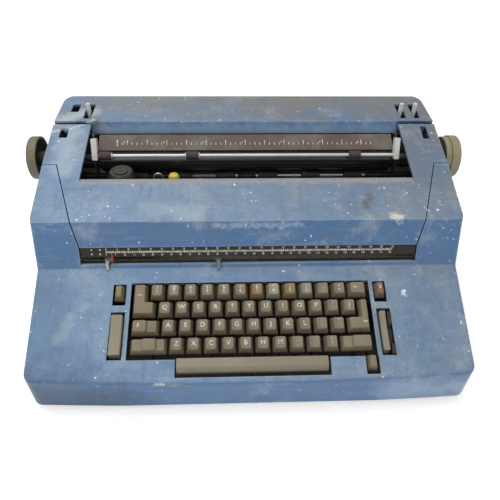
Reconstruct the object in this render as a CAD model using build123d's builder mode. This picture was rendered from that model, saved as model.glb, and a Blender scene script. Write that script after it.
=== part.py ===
"""Electric typewriter with a wide carriage and a single type element.

X runs to the right of the machine, Y to its rear and Z up, in millimetres. The origin
lies on the table, under the middle of the case. Every piece is at rest: keys up, top
cover shut, carrier at the left margin.
"""
import os
from math import hypot

from build123d import *

os.makedirs("parts", exist_ok=True)

# Case outline, seen from the side
foot_height = 8.0
skirt_gap = 1.2
front_y = -194.0
rear_y = 193.8
rear_top_y = 190.5
skirt_tuck = 2.0
deck_front_z = 54.0
deck_rear_y = -68.0
deck_rear_z = 102.0
apron_z = 125.8
ridge_y = -45.0
ridge_z = 154.5
cover_front_y = 120.2
cover_front_z = 192.0
cover_rear_z = 193.5

# Case outline, seen from above: the widths follow the length of the platen
platen_half_length = 190.0
platen_end_room = 15.0
cover_side_width = 49.0
deck_step_in = 4.0
front_step_in = 8.5
front_bow = 6.0
front_corner_radius = 12.0
rear_corner_radius = 20.0
shoulder_y = 42.6
window_half_width = platen_half_length + platen_end_room
case_half_width = window_half_width + cover_side_width
deck_half_width = case_half_width - deck_step_in
front_half_width = case_half_width - front_step_in

# Case walls and seams
wall = 3.0
seam = 1.2
deck_edge_radius = 6.0
ridge_radius = 4.0
rear_edge_radius = 8.0
rear_cover_seam_z = 150.0
tongue_thickness = 2.4
tongue_height = 9.0

# Top cover
apron_step_in = 8.0
ridge_step_in = 0.5
shoulder_step_out = 31.0
cover_front_half_width = window_half_width - apron_step_in
cover_ridge_half_width = window_half_width - ridge_step_in
cover_shoulder_half_width = window_half_width + shoulder_step_out
window_front_y = 15.0
cover_skirt_depth = 12.0
hinge_y = 113.0
hinge_barrel_radius = 6.0
hinge_pin_radius = 2.0
hinge_clearance = 0.05
barrel_inset = 7.0
barrel_length = 28.0
barrel_inner_x = window_half_width + barrel_inset
barrel_outer_x = barrel_inner_x + barrel_length
lip_radius = 1.8
lip_reach = 5.5
lip_drop = 0.4
ear_slot_corner = 1.5
ear_slot_inset = 32.5
ear_slot_x = window_half_width + ear_slot_inset
ear_slot_y = 98.0
left_ear_slot = (11.0, 17.0)
right_ear_slot = (9.0, 24.0)

# Keys
key_pitch = 19.05
row_run = 19.4
row_rise = 7.9
first_row_y = -98.7
first_row_z = 97.2
key_height = 10.0
key_base_width = 16.9
key_base_depth = 17.4
key_top_inset = 3.0
key_front_inset = 3.4
key_back_inset = 1.6
key_base_radius = 1.0
key_top_radius = 1.8
key_gap = key_pitch - key_base_width
dish_radius = 16.0
dish_depth = 0.9
block_half_width = 7.125 * key_pitch
space_bar_half_width = 82.5
space_bar_y = -177.6
space_bar_depth = 17.0
step_drop = 3.2

# Key levers
lever_thickness = 1.6
lever_bottom_z = 40.0
lever_top_z = 48.0
stem_half_width = 3.0
fulcrum_y = -38.0
fulcrum_z = 44.0
fulcrum_radius = 2.0
fulcrum_clearance = 0.05
cap_seat = 0.05
comb_y = -80.0
comb_thickness = 4.0
comb_slot_width = 2.4
keyboard_bracket_x = 166.0

# Wells in the deck
well_gap = 2.4
outer_key_x = 150.5
outer_key_width = 12.2
outer_well_width = 15.0
rocker_length = 48.0
rocker_y = -143.5
well_rear_y = -85.4
well_front_y = -169.5
space_well_front_y = -188.0

# Frame, carriage and platen
frame_plate_gap = 11.0
frame_plate_x = case_half_width - frame_plate_gap
frame_plate_thickness = 4.0
platen_y = 88.0
platen_z = 156.0
platen_radius = 18.2
platen_shaft_radius = 4.0
running_clearance = 0.05
knob_radius = 28.0
knob_reach = 27.5
knob_outer_x = case_half_width + knob_reach
knob_thickness = 12.0
ring_thickness = 7.0
feed_roller_radius = 6.0
feed_shaft_radius = 2.6
feed_roller_length = 24.0
feed_roller_pitch = 57.3
feed_roller_count = 6
touch_gap = 0.3
bail_rod_y = 69.0
bail_rod_z = 170.6
bail_rod_radius = 2.2
bail_roller_radius = 5.5
bail_roller_length = 15.0
bail_arm_gap = 1.2
bail_arm_x = platen_half_length + bail_arm_gap
bail_arm_width = 6.8
bail_pivot_y = 60.0
bail_pivot_z = 130.0
bail_shaft_radius = 3.0
scale_overhang = 1.0
scale_half_length = platen_half_length + scale_overhang
element_inset = 30.0
type_element_x = element_inset - platen_half_length
type_element_y = 46.0
type_element_z = 152.0
type_element_radius = 17.4
rear_rail_y = 40.0
rear_rail_z = 112.0
rail_radius = 6.0
front_rail_y = -8.0
front_rail_z = 112.0

# Drive
operational_y = 72.0
operational_z = 66.0
operational_radius = 5.0
motor_y = 140.0
motor_z = 56.0
motor_radius = 34.0
motor_gap = 22.0
motor_length = 104.0
motor_shaft_radius = 4.0
motor_pulley_radius = 11.0
operational_pulley_radius = 26.0
pulley_inset = 25.0
pulley_width = 12.0
pulley_x = pulley_inset - frame_plate_x
motor_left_x = pulley_x + motor_gap
motor_right_x = motor_left_x + motor_length
belt_thickness = 2.0

# Margins
margin_slot_z = 106.5
margin_strip_z = 114.8
strip_inset = 1.2
strip_thickness = 1.5
rack_y = -56.0
rack_z = 106.0
rack_size = 6.0
margin_stop_width = 8.0
margin_lead = 6.5
left_margin_x = type_element_x - margin_lead
right_margin_x = -37.0

# Levers in the rear cover
rear_lever_y = 146.0
rear_lever_pivot_z = 156.0
rear_lever_top_z = 204.0
rear_lever_width = 5.0
rear_lever_shaft_radius = 3.0
rear_lever_shaft_length = 36.0
rear_slot_front_y = 127.0
rear_slot_rear_y = 166.0
copy_lever_inset = 41.0
line_space_inset = 38.5
paper_release_inset = 19.5
copy_lever_x = copy_lever_inset - case_half_width
line_space_lever_x = case_half_width - line_space_inset
paper_release_lever_x = case_half_width - paper_release_inset

# Base pan, feet and case screws
pan_thickness = 2.0
boss_height = 16.0
screw_radius = 2.0
front_screw_x = case_half_width - 15.0
rear_screw_x = case_half_width - 48.0
front_foot_x = case_half_width - 49.0
rear_foot_x = case_half_width - 42.0
front_fixing_y = -150.0
rear_screw_y = 186.0
rear_foot_y = 148.0
screw_places = [
    (front_screw_x, front_fixing_y),
    (-front_screw_x, front_fixing_y),
    (rear_screw_x, rear_screw_y),
    (-rear_screw_x, rear_screw_y),
]
foot_places = [
    (front_foot_x, front_fixing_y),
    (-front_foot_x, front_fixing_y),
    (rear_foot_x, rear_foot_y),
    (-rear_foot_x, rear_foot_y),
]

# Case height follows the side outline
case_top_z = cover_rear_z
skirt_bottom_z = foot_height + skirt_gap
pan_top_z = foot_height + pan_thickness
deck_slope = (deck_rear_z - deck_front_z) / (deck_rear_y - front_y)
cover_slope = (cover_front_z - ridge_z) / (cover_front_y - ridge_y)
wall_lean = (ridge_y - deck_rear_y) / (ridge_z - deck_rear_z)
apron_y = ridge_y + (apron_z - ridge_z) * wall_lean
row_pitch = hypot(row_run, row_rise)
hinge_z = ridge_z + (hinge_y - ridge_y) * cover_slope - hinge_barrel_radius


def cover_z(y):
    """Height of the sloping top of the case at depth y."""
    return ridge_z + (y - ridge_y) * cover_slope


def deck_z(y):
    """Height of the keyboard deck at depth y."""
    return deck_front_z + (y - front_y) * deck_slope


def wall_y(z):
    """Depth at height z of the leaning wall between the keyboard deck and the ridge."""
    return ridge_y + (z - ridge_z) * wall_lean


def save(builder, name):
    """Label a finished piece and write it under its own name."""
    builder.part.label = name
    export_step(builder.part, f"parts/{name}.step")


# Case form: the side outline carried across, cut by the outline seen from above
def case_form(inset, bottom_z):
    with BuildPart() as form:
        with BuildSketch(Plane.YZ) as side:
            with BuildLine():
                Polyline(
                    (front_y + skirt_tuck, bottom_z),
                    (front_y, deck_front_z),
                    (deck_rear_y, deck_rear_z),
                    (ridge_y, ridge_z),
                    (cover_front_y, cover_front_z),
                    (rear_top_y, cover_rear_z),
                    (rear_y, bottom_z),
                    close=True,
                )
            make_face()
            if inset:
                offset(amount=-inset, kind=Kind.INTERSECTION, mode=Mode.REPLACE)
            ridge = side.vertices().sort_by_distance(Vector(0, ridge_y, ridge_z))[0]
            rear_edge = side.vertices().sort_by_distance(Vector(0, rear_top_y, cover_rear_z))[0]
            fillet(ridge, ridge_radius - inset / 2)
            fillet(rear_edge, rear_edge_radius - inset)
        extrude(amount=case_half_width + 10, both=True)
        with BuildSketch(Plane.XY.offset(bottom_z - 10)) as plan:
            with BuildLine():
                front = ThreePointArc(
                    (-front_half_width, front_y + front_bow),
                    (0, front_y),
                    (front_half_width, front_y + front_bow),
                )
                Polyline(
                    front @ 1,
                    (deck_half_width, deck_rear_y),
                    (case_half_width, shoulder_y),
                    (case_half_width, rear_y),
                    (-case_half_width, rear_y),
                    (-case_half_width, shoulder_y),
                    (-deck_half_width, deck_rear_y),
                    front @ 0,
                )
            make_face()
            if inset:
                offset(amount=-inset, kind=Kind.INTERSECTION, mode=Mode.REPLACE)
            fillet(plan.vertices().sort_by(Axis.Y)[:2], front_corner_radius - inset)
            fillet(plan.vertices().sort_by(Axis.Y)[-2:], rear_corner_radius - inset)
        extrude(amount=case_top_z + 20 - bottom_z, mode=Mode.INTERSECT)
        if not inset:
            deck_edge = form.edges().filter_by(
                lambda e: e.center().Y < front_y + 40
                and deck_front_z - 5 < e.center().Z < deck_z(front_y + 40)
                and e.bounding_box().size.Z < 12
            )
            fillet(deck_edge, deck_edge_radius)
    return form.part


case_outside = case_form(0, skirt_bottom_z)
case_inside = case_form(wall, -20)


# Region of the top cover, grown by the seam where the housing makes room for it
def cover_region(grown):
    outer = case_half_width + 20
    with BuildPart() as region:
        with BuildSketch(Plane.XY.offset(apron_z - 40)) as plan:
            with BuildLine():
                Polyline(
                    (-cover_front_half_width, apron_y - 20),
                    (cover_front_half_width, apron_y - 20),
                    (cover_front_half_width, apron_y),
                    (cover_ridge_half_width, ridge_y),
                    (cover_shoulder_half_width, shoulder_y + seam),
                    (outer, shoulder_y + seam),
                    (outer, hinge_y),
                    (-outer, hinge_y),
                    (-outer, shoulder_y + seam),
                    (-cover_shoulder_half_width, shoulder_y + seam),
                    (-cover_ridge_half_width, ridge_y),
                    (-cover_front_half_width, apron_y),
                    close=True,
                )
            make_face()
            if grown:
                offset(amount=grown, kind=Kind.INTERSECTION, mode=Mode.REPLACE)
        extrude(amount=120)
        with BuildSketch(Plane.YZ) as side:
            with BuildLine():
                Polyline(
                    (apron_y - 30, apron_z + 0.5),
                    (shoulder_y - 2, apron_z + 0.5),
                    (shoulder_y - 2, cover_z(shoulder_y) - 7),
                    (shoulder_y + 20, cover_z(shoulder_y + 20) - cover_skirt_depth - 7),
                    (hinge_y - 7, cover_z(hinge_y) - cover_skirt_depth - 6),
                    (hinge_y, cover_z(hinge_y) - cover_skirt_depth),
                    (hinge_y, case_top_z + 20),
                    (apron_y - 30, case_top_z + 20),
                    close=True,
                )
            make_face()
            if grown:
                offset(amount=grown, kind=Kind.INTERSECTION, mode=Mode.REPLACE)
        extrude(amount=outer, both=True, mode=Mode.INTERSECT)
        with BuildSketch(Plane.YZ):
            with Locations((hinge_y, hinge_z)):
                Circle(hinge_barrel_radius + grown)
        extrude(amount=outer, both=True)
    return region.part


cover_zone = cover_region(0)
cover_zone_grown = cover_region(seam)


# Rear cover: the fixed hood behind the platen, with its lever slots and sloped inner wall
def make_rear_cover():
    inner_wall_half = window_half_width - 1.0
    with BuildPart() as cover:
        add(case_outside)
        add(case_inside, mode=Mode.SUBTRACT)
        with BuildSketch(Plane.YZ):
            with BuildLine():
                Polyline(
                    (cover_front_y, rear_cover_seam_z),
                    (rear_y + 10, rear_cover_seam_z),
                    (rear_y + 10, case_top_z + 10),
                    (cover_front_y, case_top_z + 10),
                    close=True,
                )
            make_face()
        extrude(amount=case_half_width + 20, both=True, mode=Mode.INTERSECT)
        with BuildSketch(Plane.YZ):
            with BuildLine():
                Polyline(
                    (cover_front_y + 4, cover_front_z - wall),
                    (cover_front_y + 0.4, cover_front_z),
                    (cover_front_y - 1.2, cover_front_z - 0.6),
                    (cover_front_y - 6.4, cover_front_z - 15),
                    (cover_front_y - 3.4, cover_front_z - 16),
                    close=True,
                )
            make_face()
        extrude(amount=inner_wall_half, both=True)
        with BuildSketch(Plane.XY.offset(case_top_z - 10)):
            slot_y = (rear_slot_front_y + rear_slot_rear_y) / 2
            slot_length = rear_slot_rear_y - rear_slot_front_y
            with Locations((line_space_lever_x, slot_y), (paper_release_lever_x, slot_y)):
                RectangleRounded(rear_lever_width + 4, slot_length, 1.5)
            with Locations((copy_lever_x, slot_y)):
                RectangleRounded(rear_lever_width + 6, slot_length, 1.5)
            with Locations((copy_lever_x - 20, slot_y + 9)):
                RectangleRounded(11, 21, 1.5)
        extrude(amount=30, mode=Mode.SUBTRACT)
        tongue_x = case_half_width - wall - tongue_thickness / 2
        with BuildSketch(Plane.XY.offset(rear_cover_seam_z - tongue_height)):
            with Locations((tongue_x, 150), (-tongue_x, 150)):
                Rectangle(tongue_thickness, 16)
        extrude(amount=tongue_height + 6)
    save(cover, "rear_cover")
    return cover.part


# Top cover: the U-shaped lid round the platen window, on two rear hinge barrels
def make_top_cover():
    with BuildPart() as cover:
        add(case_outside)
        add(case_inside, mode=Mode.SUBTRACT)
        add(cover_zone, mode=Mode.INTERSECT)
        window_length = hinge_y + 20 - window_front_y
        with BuildSketch(Plane.XY.offset(apron_z - 20)):
            with Locations((0, window_front_y + window_length / 2)):
                Rectangle(2 * window_half_width, window_length)
        extrude(amount=120, mode=Mode.SUBTRACT)
        lip_z = cover_z(window_front_y) - lip_drop
        lip_y = window_front_y + lip_reach
        with BuildSketch(Plane.YZ):
            with BuildLine():
                Polyline(
                    (window_front_y - wall, cover_z(window_front_y - wall) - wall),
                    (window_front_y - wall, cover_z(window_front_y - wall)),
                    (window_front_y, cover_z(window_front_y)),
                    (lip_y, lip_z),
                    (lip_y, lip_z - 2 * lip_radius),
                    close=True,
                )
            make_face()
            with Locations((lip_y, lip_z - lip_radius)):
                Circle(lip_radius)
        extrude(amount=window_half_width, both=True)
        with BuildSketch(Plane.YZ.offset(barrel_inner_x)):
            with Locations((hinge_y, hinge_z)):
                Circle(hinge_barrel_radius)
        extrude(amount=barrel_outer_x - barrel_inner_x)
        with BuildSketch(Plane.YZ.offset(-barrel_outer_x)):
            with Locations((hinge_y, hinge_z)):
                Circle(hinge_barrel_radius)
        extrude(amount=barrel_outer_x - barrel_inner_x)
        with BuildSketch(Plane.YZ):
            with Locations((hinge_y, hinge_z)):
                Circle(hinge_pin_radius + hinge_clearance)
        extrude(amount=case_half_width - wall, both=True, mode=Mode.SUBTRACT)
        with BuildSketch(Plane.XY.offset(apron_z)):
            with Locations((ear_slot_x, ear_slot_y)):
                RectangleRounded(*right_ear_slot, ear_slot_corner)
            with Locations((-ear_slot_x, ear_slot_y)):
                RectangleRounded(*left_ear_slot, ear_slot_corner)
        extrude(amount=100, mode=Mode.SUBTRACT)
    save(cover, "top_cover")
    return cover.part


# Main housing: skirt, keyboard deck and shoulders in one moulding, open below
def make_main_housing():
    boss_radius = 6.0
    with BuildPart() as housing:
        add(case_outside)
        add(case_inside, mode=Mode.SUBTRACT)
        with BuildSketch(Plane.XY.offset(pan_top_z)):
            with Locations(*screw_places):
                Circle(boss_radius)
        extrude(amount=boss_height)
        add(cover_zone_grown, mode=Mode.SUBTRACT)
        with BuildSketch(Plane.YZ):
            with BuildLine():
                Polyline(
                    (cover_front_y - seam, rear_cover_seam_z - seam),
                    (rear_y + 10, rear_cover_seam_z - seam),
                    (rear_y + 10, case_top_z + 10),
                    (hinge_y - 2, case_top_z + 10),
                    (hinge_y - 2, hinge_z),
                    (cover_front_y - seam, hinge_z - 12),
                    close=True,
                )
            make_face()
        extrude(amount=case_half_width + 20, both=True, mode=Mode.SUBTRACT)
        with BuildSketch(Plane.XY.offset(deck_front_z - 14)):
            well_length = well_rear_y - well_front_y
            with Locations((0.5, (well_rear_y + well_front_y) / 2)):
                Rectangle(2 * (block_half_width + well_gap), well_length)
            space_length = well_front_y - space_well_front_y
            with Locations((0.5, (well_front_y + space_well_front_y) / 2)):
                Rectangle(2 * (space_bar_half_width + well_gap), space_length)
            with Locations((131.5, (well_front_y + space_well_front_y) / 2)):
                Rectangle(outer_well_width, space_length)
            with Locations((outer_key_x, first_row_y + 0.2), (-outer_key_x, first_row_y + 0.2)):
                Rectangle(outer_well_width, 24)
            with Locations((outer_key_x + 1, rocker_y), (-outer_key_x, rocker_y)):
                Rectangle(outer_well_width + 1, rocker_length + 3)
        extrude(amount=70, mode=Mode.SUBTRACT)
        with BuildSketch(Plane.XZ.offset(-apron_y + 20)):
            window_height = apron_z + 5 - margin_slot_z
            with Locations((0, margin_slot_z + window_height / 2)):
                Rectangle(2 * (cover_front_half_width + seam), window_height)
        extrude(amount=-24.5, mode=Mode.SUBTRACT)
        with BuildSketch(Plane.YZ):
            with Locations((platen_y, platen_z + 20)):
                Rectangle(16, 56)
        extrude(amount=case_half_width + 10, both=True, mode=Mode.SUBTRACT)
        with BuildSketch(Plane.XZ.offset(-rear_y - 5)):
            with Locations((-180, 34)):
                Circle(8)
        extrude(amount=20, mode=Mode.SUBTRACT)
        with BuildSketch(Plane.XY.offset(pan_top_z)):
            with Locations(*screw_places):
                Circle(screw_radius + running_clearance)
        extrude(amount=boss_height - 2, mode=Mode.SUBTRACT)
    save(housing, "main_housing")
    return housing.part


make_main_housing()
make_top_cover()
make_rear_cover()


# Keyboard planes: the foot of the caps of a row, square to the slope of the keyboard
def cap_plane(row):
    top_y = first_row_y - row * row_run
    top_z = first_row_z - row * row_rise
    rise = row_rise / row_pitch
    run = row_run / row_pitch
    foot = (0, top_y + key_height * rise, top_z - key_height * run)
    return Plane(origin=foot, x_dir=(1, 0, 0), z_dir=(0, -rise, run))


def narrowed(outline):
    """Move each side of an anticlockwise cap outline inwards, the front side most."""
    moved = []
    for i, (x, v) in enumerate(outline):
        for (x0, v0), (x1, v1) in ((outline[i - 1], (x, v)), ((x, v), outline[(i + 1) % len(outline)])):
            if x1 > x0:
                new_v = v + key_front_inset
            elif x1 < x0:
                new_v = v - key_back_inset
            elif v1 > v0:
                new_x = x - key_top_inset
            else:
                new_x = x + key_top_inset
        moved.append((new_x, new_v))
    return moved


def block(left, right, front, back):
    """Rectangle outline, anticlockwise."""
    return [(left, front), (right, front), (right, back), (left, back)]


def key_cap(plane, outlines, dished=False):
    """Caps that taper from a foot outline to a smaller top, each with its own height."""
    with BuildPart() as cap:
        for outline, height in outlines:
            with BuildSketch(plane) as foot:
                Polygon(*outline, align=None)
                fillet(foot.vertices(), key_base_radius)
            with BuildSketch(plane.offset(height)) as crown:
                Polygon(*narrowed(outline), align=None)
                fillet(crown.vertices(), key_top_radius)
            loft(ruled=True)
        if dished:
            centre = plane.origin + plane.z_dir * (key_height + dish_radius - dish_depth)
            with BuildSketch(Plane(origin=centre, x_dir=(1, 0, 0), z_dir=plane.y_dir)):
                Circle(dish_radius)
            extrude(amount=key_base_depth, both=True, mode=Mode.SUBTRACT)
    return cap.part


# Key levers: stamped strips that carry a cap on a stem and turn on the fulcrum rod
def key_lever(row):
    plane = cap_plane(row)
    foot_y = plane.origin.Y
    foot_z = plane.origin.Z - cap_seat * row_pitch / row_run
    lean = stem_half_width * row_rise / row_run
    rear = fulcrum_y + 6
    notch = fulcrum_radius + fulcrum_clearance
    with BuildPart() as lever:
        with BuildSketch(Plane.YZ):
            with BuildLine():
                Polyline(
                    (foot_y - stem_half_width, foot_z - lean),
                    (foot_y - stem_half_width, lever_bottom_z),
                    (fulcrum_y - notch, lever_bottom_z),
                    (fulcrum_y - notch, fulcrum_z + notch),
                    (fulcrum_y + notch, fulcrum_z + notch),
                    (fulcrum_y + notch, lever_bottom_z),
                    (rear, lever_bottom_z),
                    (rear, lever_top_z + 1),
                    (fulcrum_y - 8, lever_top_z + 1),
                    (fulcrum_y - 12, lever_top_z),
                    (foot_y + stem_half_width, lever_top_z),
                    (foot_y + stem_half_width, foot_z + lean),
                    close=True,
                )
            make_face()
        extrude(amount=lever_thickness / 2, both=True)
    return lever.part


def save_key_row(name, row, places):
    """A row of character keys: a cap and a lever at each place along the row."""
    square = block(-half_cap, half_cap, -half_depth, half_depth)
    cap = key_cap(cap_plane(row), [(square, key_height)], dished=True)
    lever = key_lever(row)
    with BuildPart() as keys:
        with Locations(*[Location((x, 0, 0)) for x in places]):
            add(cap)
            add(lever)
    save(keys, name)


# Character keys: four rows, each set half a pitch or a quarter pitch over from the next
row_names = ("number_row_keys", "top_row_keys", "home_row_keys", "bottom_row_keys")
row_first_x = (-5.625 * key_pitch, -5.125 * key_pitch, -4.875 * key_pitch, -4.375 * key_pitch)
row_counts = (12, 12, 11, 10)
half_cap = key_base_width / 2
half_depth = key_base_depth / 2
lever_places = []
for row, name in enumerate(row_names):
    places = [row_first_x[row] + i * key_pitch for i in range(row_counts[row])]
    lever_places += places
    save_key_row(name, row, places)


# Function keys: wide, L-shaped and stepped caps at the two ends of the rows
left_end = -block_half_width + key_gap / 2
right_end = block_half_width - key_gap / 2
low_cap = key_height - step_drop


def row_end(row, side):
    """Where the last character cap of a row ends, plus the gap to the next cap."""
    first = row_first_x[row]
    if side < 0:
        return first - key_pitch / 2 - key_gap / 2
    return first + (row_counts[row] - 0.5) * key_pitch + key_gap / 2


def save_function_key(name, row, outlines, lever_x):
    """A wide cap and its own lever, as two solids of one piece."""
    cap = key_cap(cap_plane(row), outlines)
    lever = key_lever(row)
    with BuildPart() as key:
        add(cap)
        with Locations(Location((lever_x, 0, 0))):
            add(lever)
    lever_places.append(lever_x)
    save(key, name)


tab_outline = [
    (left_end, -row_pitch - half_depth),
    (row_end(1, -1), -row_pitch - half_depth),
    (row_end(1, -1), -row_pitch + half_depth),
    (row_end(0, -1), -row_pitch + half_depth),
    (row_end(0, -1), half_depth),
    (left_end, half_depth),
]
return_outline = [
    (row_end(2, 1), -row_pitch - half_depth),
    (right_end, -row_pitch - half_depth),
    (right_end, half_depth),
    (row_end(1, 1), half_depth),
    (row_end(1, 1), -row_pitch + half_depth),
    (row_end(2, 1), -row_pitch + half_depth),
]
save_function_key("tab_key", 0, [(tab_outline, key_height)], -6.625 * key_pitch)
save_function_key("return_key", 1, [(return_outline, key_height)], 6.75 * key_pitch)
backspace_outline = block(row_end(0, 1), right_end, -half_depth, half_depth)
save_function_key("backspace_key", 0, [(backspace_outline, key_height)], 6.375 * key_pitch)
lock_step = left_end + 1.05 * key_pitch
lock_outlines = [
    (block(left_end, row_end(2, -1), -half_depth, half_depth), low_cap),
    (block(left_end, lock_step, -half_depth, half_depth), key_height),
]
save_function_key("lock_key", 2, lock_outlines, -6.125 * key_pitch)
left_shift_outlines = [
    (block(left_end, row_end(3, -1), -half_depth, half_depth), low_cap),
    (block(left_end + 0.6 * key_pitch, left_end + 1.65 * key_pitch, -half_depth, half_depth), key_height),
]
save_function_key("left_shift_key", 3, left_shift_outlines, -5.875 * key_pitch)
right_shift_outlines = [
    (block(row_end(3, 1), right_end, -half_depth, half_depth), low_cap),
    (block(row_end(3, 1) + 0.55 * key_pitch, right_end, -half_depth, half_depth), key_height),
]
save_function_key("right_shift_key", 3, right_shift_outlines, 6.125 * key_pitch)
space_row = (first_row_y - space_bar_y) / row_run
correction_x = 131.5
correction_half = outer_key_width / 2
correction_outline = block(
    correction_x - correction_half, correction_x + correction_half, -space_bar_depth / 2, space_bar_depth / 2
)
save_function_key("correction_key", space_row, [(correction_outline, key_height)], correction_x + 2)
outer_half = outer_key_width / 2
outer_outline = block(outer_key_x - outer_half, outer_key_x + outer_half, -half_depth - 1, half_depth - 0.4)
save_function_key("index_key", 0, [(outer_outline, key_height)], outer_key_x)
outer_rear = half_depth - 0.4
margin_outline = block(-outer_key_x - outer_half, -outer_key_x + outer_half, -half_depth - 1, outer_rear)
save_function_key("margin_release_key", 0, [(margin_outline, key_height)], -outer_key_x)


# Space bar: one long bar with a rounded front, on a lever at its middle
def make_space_bar():
    plane = cap_plane(space_row)
    half = space_bar_depth / 2
    section = Plane(origin=plane.origin, x_dir=plane.y_dir, z_dir=(1, 0, 0))
    lever = key_lever(space_row)
    with BuildPart() as bar:
        with BuildSketch(section) as side:
            with BuildLine():
                Polyline(
                    (-half, 0),
                    (half, 0),
                    (half - 1.2, key_height),
                    (-half + 6.0, key_height),
                    (-half + 1.2, key_height - 5.5),
                    close=True,
                )
            make_face()
            fillet(side.vertices().group_by(Axis.Z)[-1], 1.2)
        extrude(amount=space_bar_half_width, both=True)
        add(lever)
    lever_places.append(0.0)
    save(bar, "space_bar")


make_space_bar()


# Keyboard frame: side brackets, rocker pivots, fulcrum rod and the comb that guides the levers
bracket_thickness = 3.0
bracket_inner_x = keyboard_bracket_x - bracket_thickness / 2
rocker_pivot_z = deck_z(rocker_y) - 14.0
rocker_pin_radius = 2.0
bracket_drop = wall + 5.0


def make_keyboard_frame():
    with BuildPart() as frame:
        for side in (-1, 1):
            with BuildSketch(Plane.YZ.offset(side * keyboard_bracket_x)):
                with BuildLine():
                    Polyline(
                        (front_y + 12, pan_top_z),
                        (fulcrum_y + 10, pan_top_z),
                        (fulcrum_y + 10, fulcrum_z + 8),
                        (deck_rear_y - 8, fulcrum_z + 16),
                        (deck_rear_y - 26, deck_z(deck_rear_y - 26) - bracket_drop),
                        (front_y + 12, deck_z(front_y + 12) - bracket_drop),
                        close=True,
                    )
                make_face()
                with Locations((fulcrum_y, fulcrum_z)):
                    Circle(fulcrum_radius + fulcrum_clearance, mode=Mode.SUBTRACT)
                with Locations((-150, 31), (-100, 38)):
                    RectangleRounded(34, 22, 4, mode=Mode.SUBTRACT)
            extrude(amount=bracket_thickness / 2, both=True)
            with BuildSketch(Plane.XY.offset(pan_top_z)):
                with Locations((side * (keyboard_bracket_x + 6), (front_y + fulcrum_y) / 2 + 13)):
                    Rectangle(12, fulcrum_y - front_y - 20)
            extrude(amount=2)
            with BuildSketch(Plane.YZ.offset(side * (outer_key_x - 5.5))):
                with Locations((rocker_y, rocker_pivot_z)):
                    Circle(rocker_pin_radius)
            extrude(amount=side * (bracket_inner_x - outer_key_x + 5.5))
        with BuildSketch(Plane.XZ.offset(-comb_y)):
            with Locations((0, 40)):
                Rectangle(2 * bracket_inner_x, 26)
            with Locations(*[(x, 46.5) for x in lever_places]):
                Rectangle(comb_slot_width, 21, mode=Mode.SUBTRACT)
        extrude(amount=comb_thickness / 2, both=True)
    save(frame, "keyboard_frame")


make_keyboard_frame()

with BuildPart() as fulcrum_rod:
    with BuildSketch(Plane.YZ):
        with Locations((fulcrum_y, fulcrum_z)):
            Circle(fulcrum_radius)
    extrude(amount=keyboard_bracket_x + bracket_thickness, both=True)
save(fulcrum_rod, "fulcrum_rod")


# Rockers: long two-way keys outside the block, each with a web on a pivot pin
def make_rocker(name, centre_x, width):
    rise = row_rise / row_pitch
    run = row_run / row_pitch
    surface = Plane(
        origin=(centre_x, rocker_y, deck_z(rocker_y) - 2.5), x_dir=(0, run, rise), z_dir=(1, 0, 0)
    )
    half = rocker_length / 2
    web_foot = rocker_pivot_z - 4.0
    with BuildPart() as rocker:
        with BuildSketch(surface) as side:
            with BuildLine():
                Polyline(
                    (-half, -2),
                    (half, -2),
                    (half - 0.8, 8.2),
                    (2, 7.0),
                    (-2, 7.0),
                    (-half + 2.2, 8.2),
                    close=True,
                )
            make_face()
        extrude(amount=width / 2, both=True)
        chamfer(rocker.edges().group_by(Axis.X)[0] + rocker.edges().group_by(Axis.X)[-1], 1.0)
        with BuildSketch(Plane.YZ.offset(centre_x)):
            with Locations((rocker_y, (web_foot + deck_z(rocker_y) - 4) / 2)):
                Rectangle(9, deck_z(rocker_y) - 4 - web_foot)
        extrude(amount=1.5, both=True)
        with BuildSketch(Plane.YZ.offset(centre_x)):
            with Locations((rocker_y, rocker_pivot_z)):
                Circle(rocker_pin_radius + running_clearance)
        extrude(amount=10, both=True, mode=Mode.SUBTRACT)
    save(rocker, name)


make_rocker("tab_rocker", -outer_key_x + 0.4, 13.2)
make_rocker("power_rocker", outer_key_x - 2.2, 7.4)

with BuildPart() as switch_guide:
    guide_plane = Plane(
        origin=(outer_key_x + 6.0, rocker_y, deck_z(rocker_y) - 5.0),
        x_dir=(0, row_run / row_pitch, row_rise / row_pitch),
        z_dir=(1, 0, 0),
    )
    with BuildSketch(guide_plane):
        with BuildLine():
            Polyline(
                (-24, -3), (24, -3), (24, 8), (10, 6), (6, 0), (-11, 0), (-13, 7.5), (-24, 8), close=True
            )
        make_face()
    extrude(amount=2.1, both=True)
    with BuildSketch(guide_plane):
        with Locations((0, -2)):
            Rectangle(14, 2)
    extrude(amount=bracket_inner_x - outer_key_x - 6.0)
save(switch_guide, "switch_guide")


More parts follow.
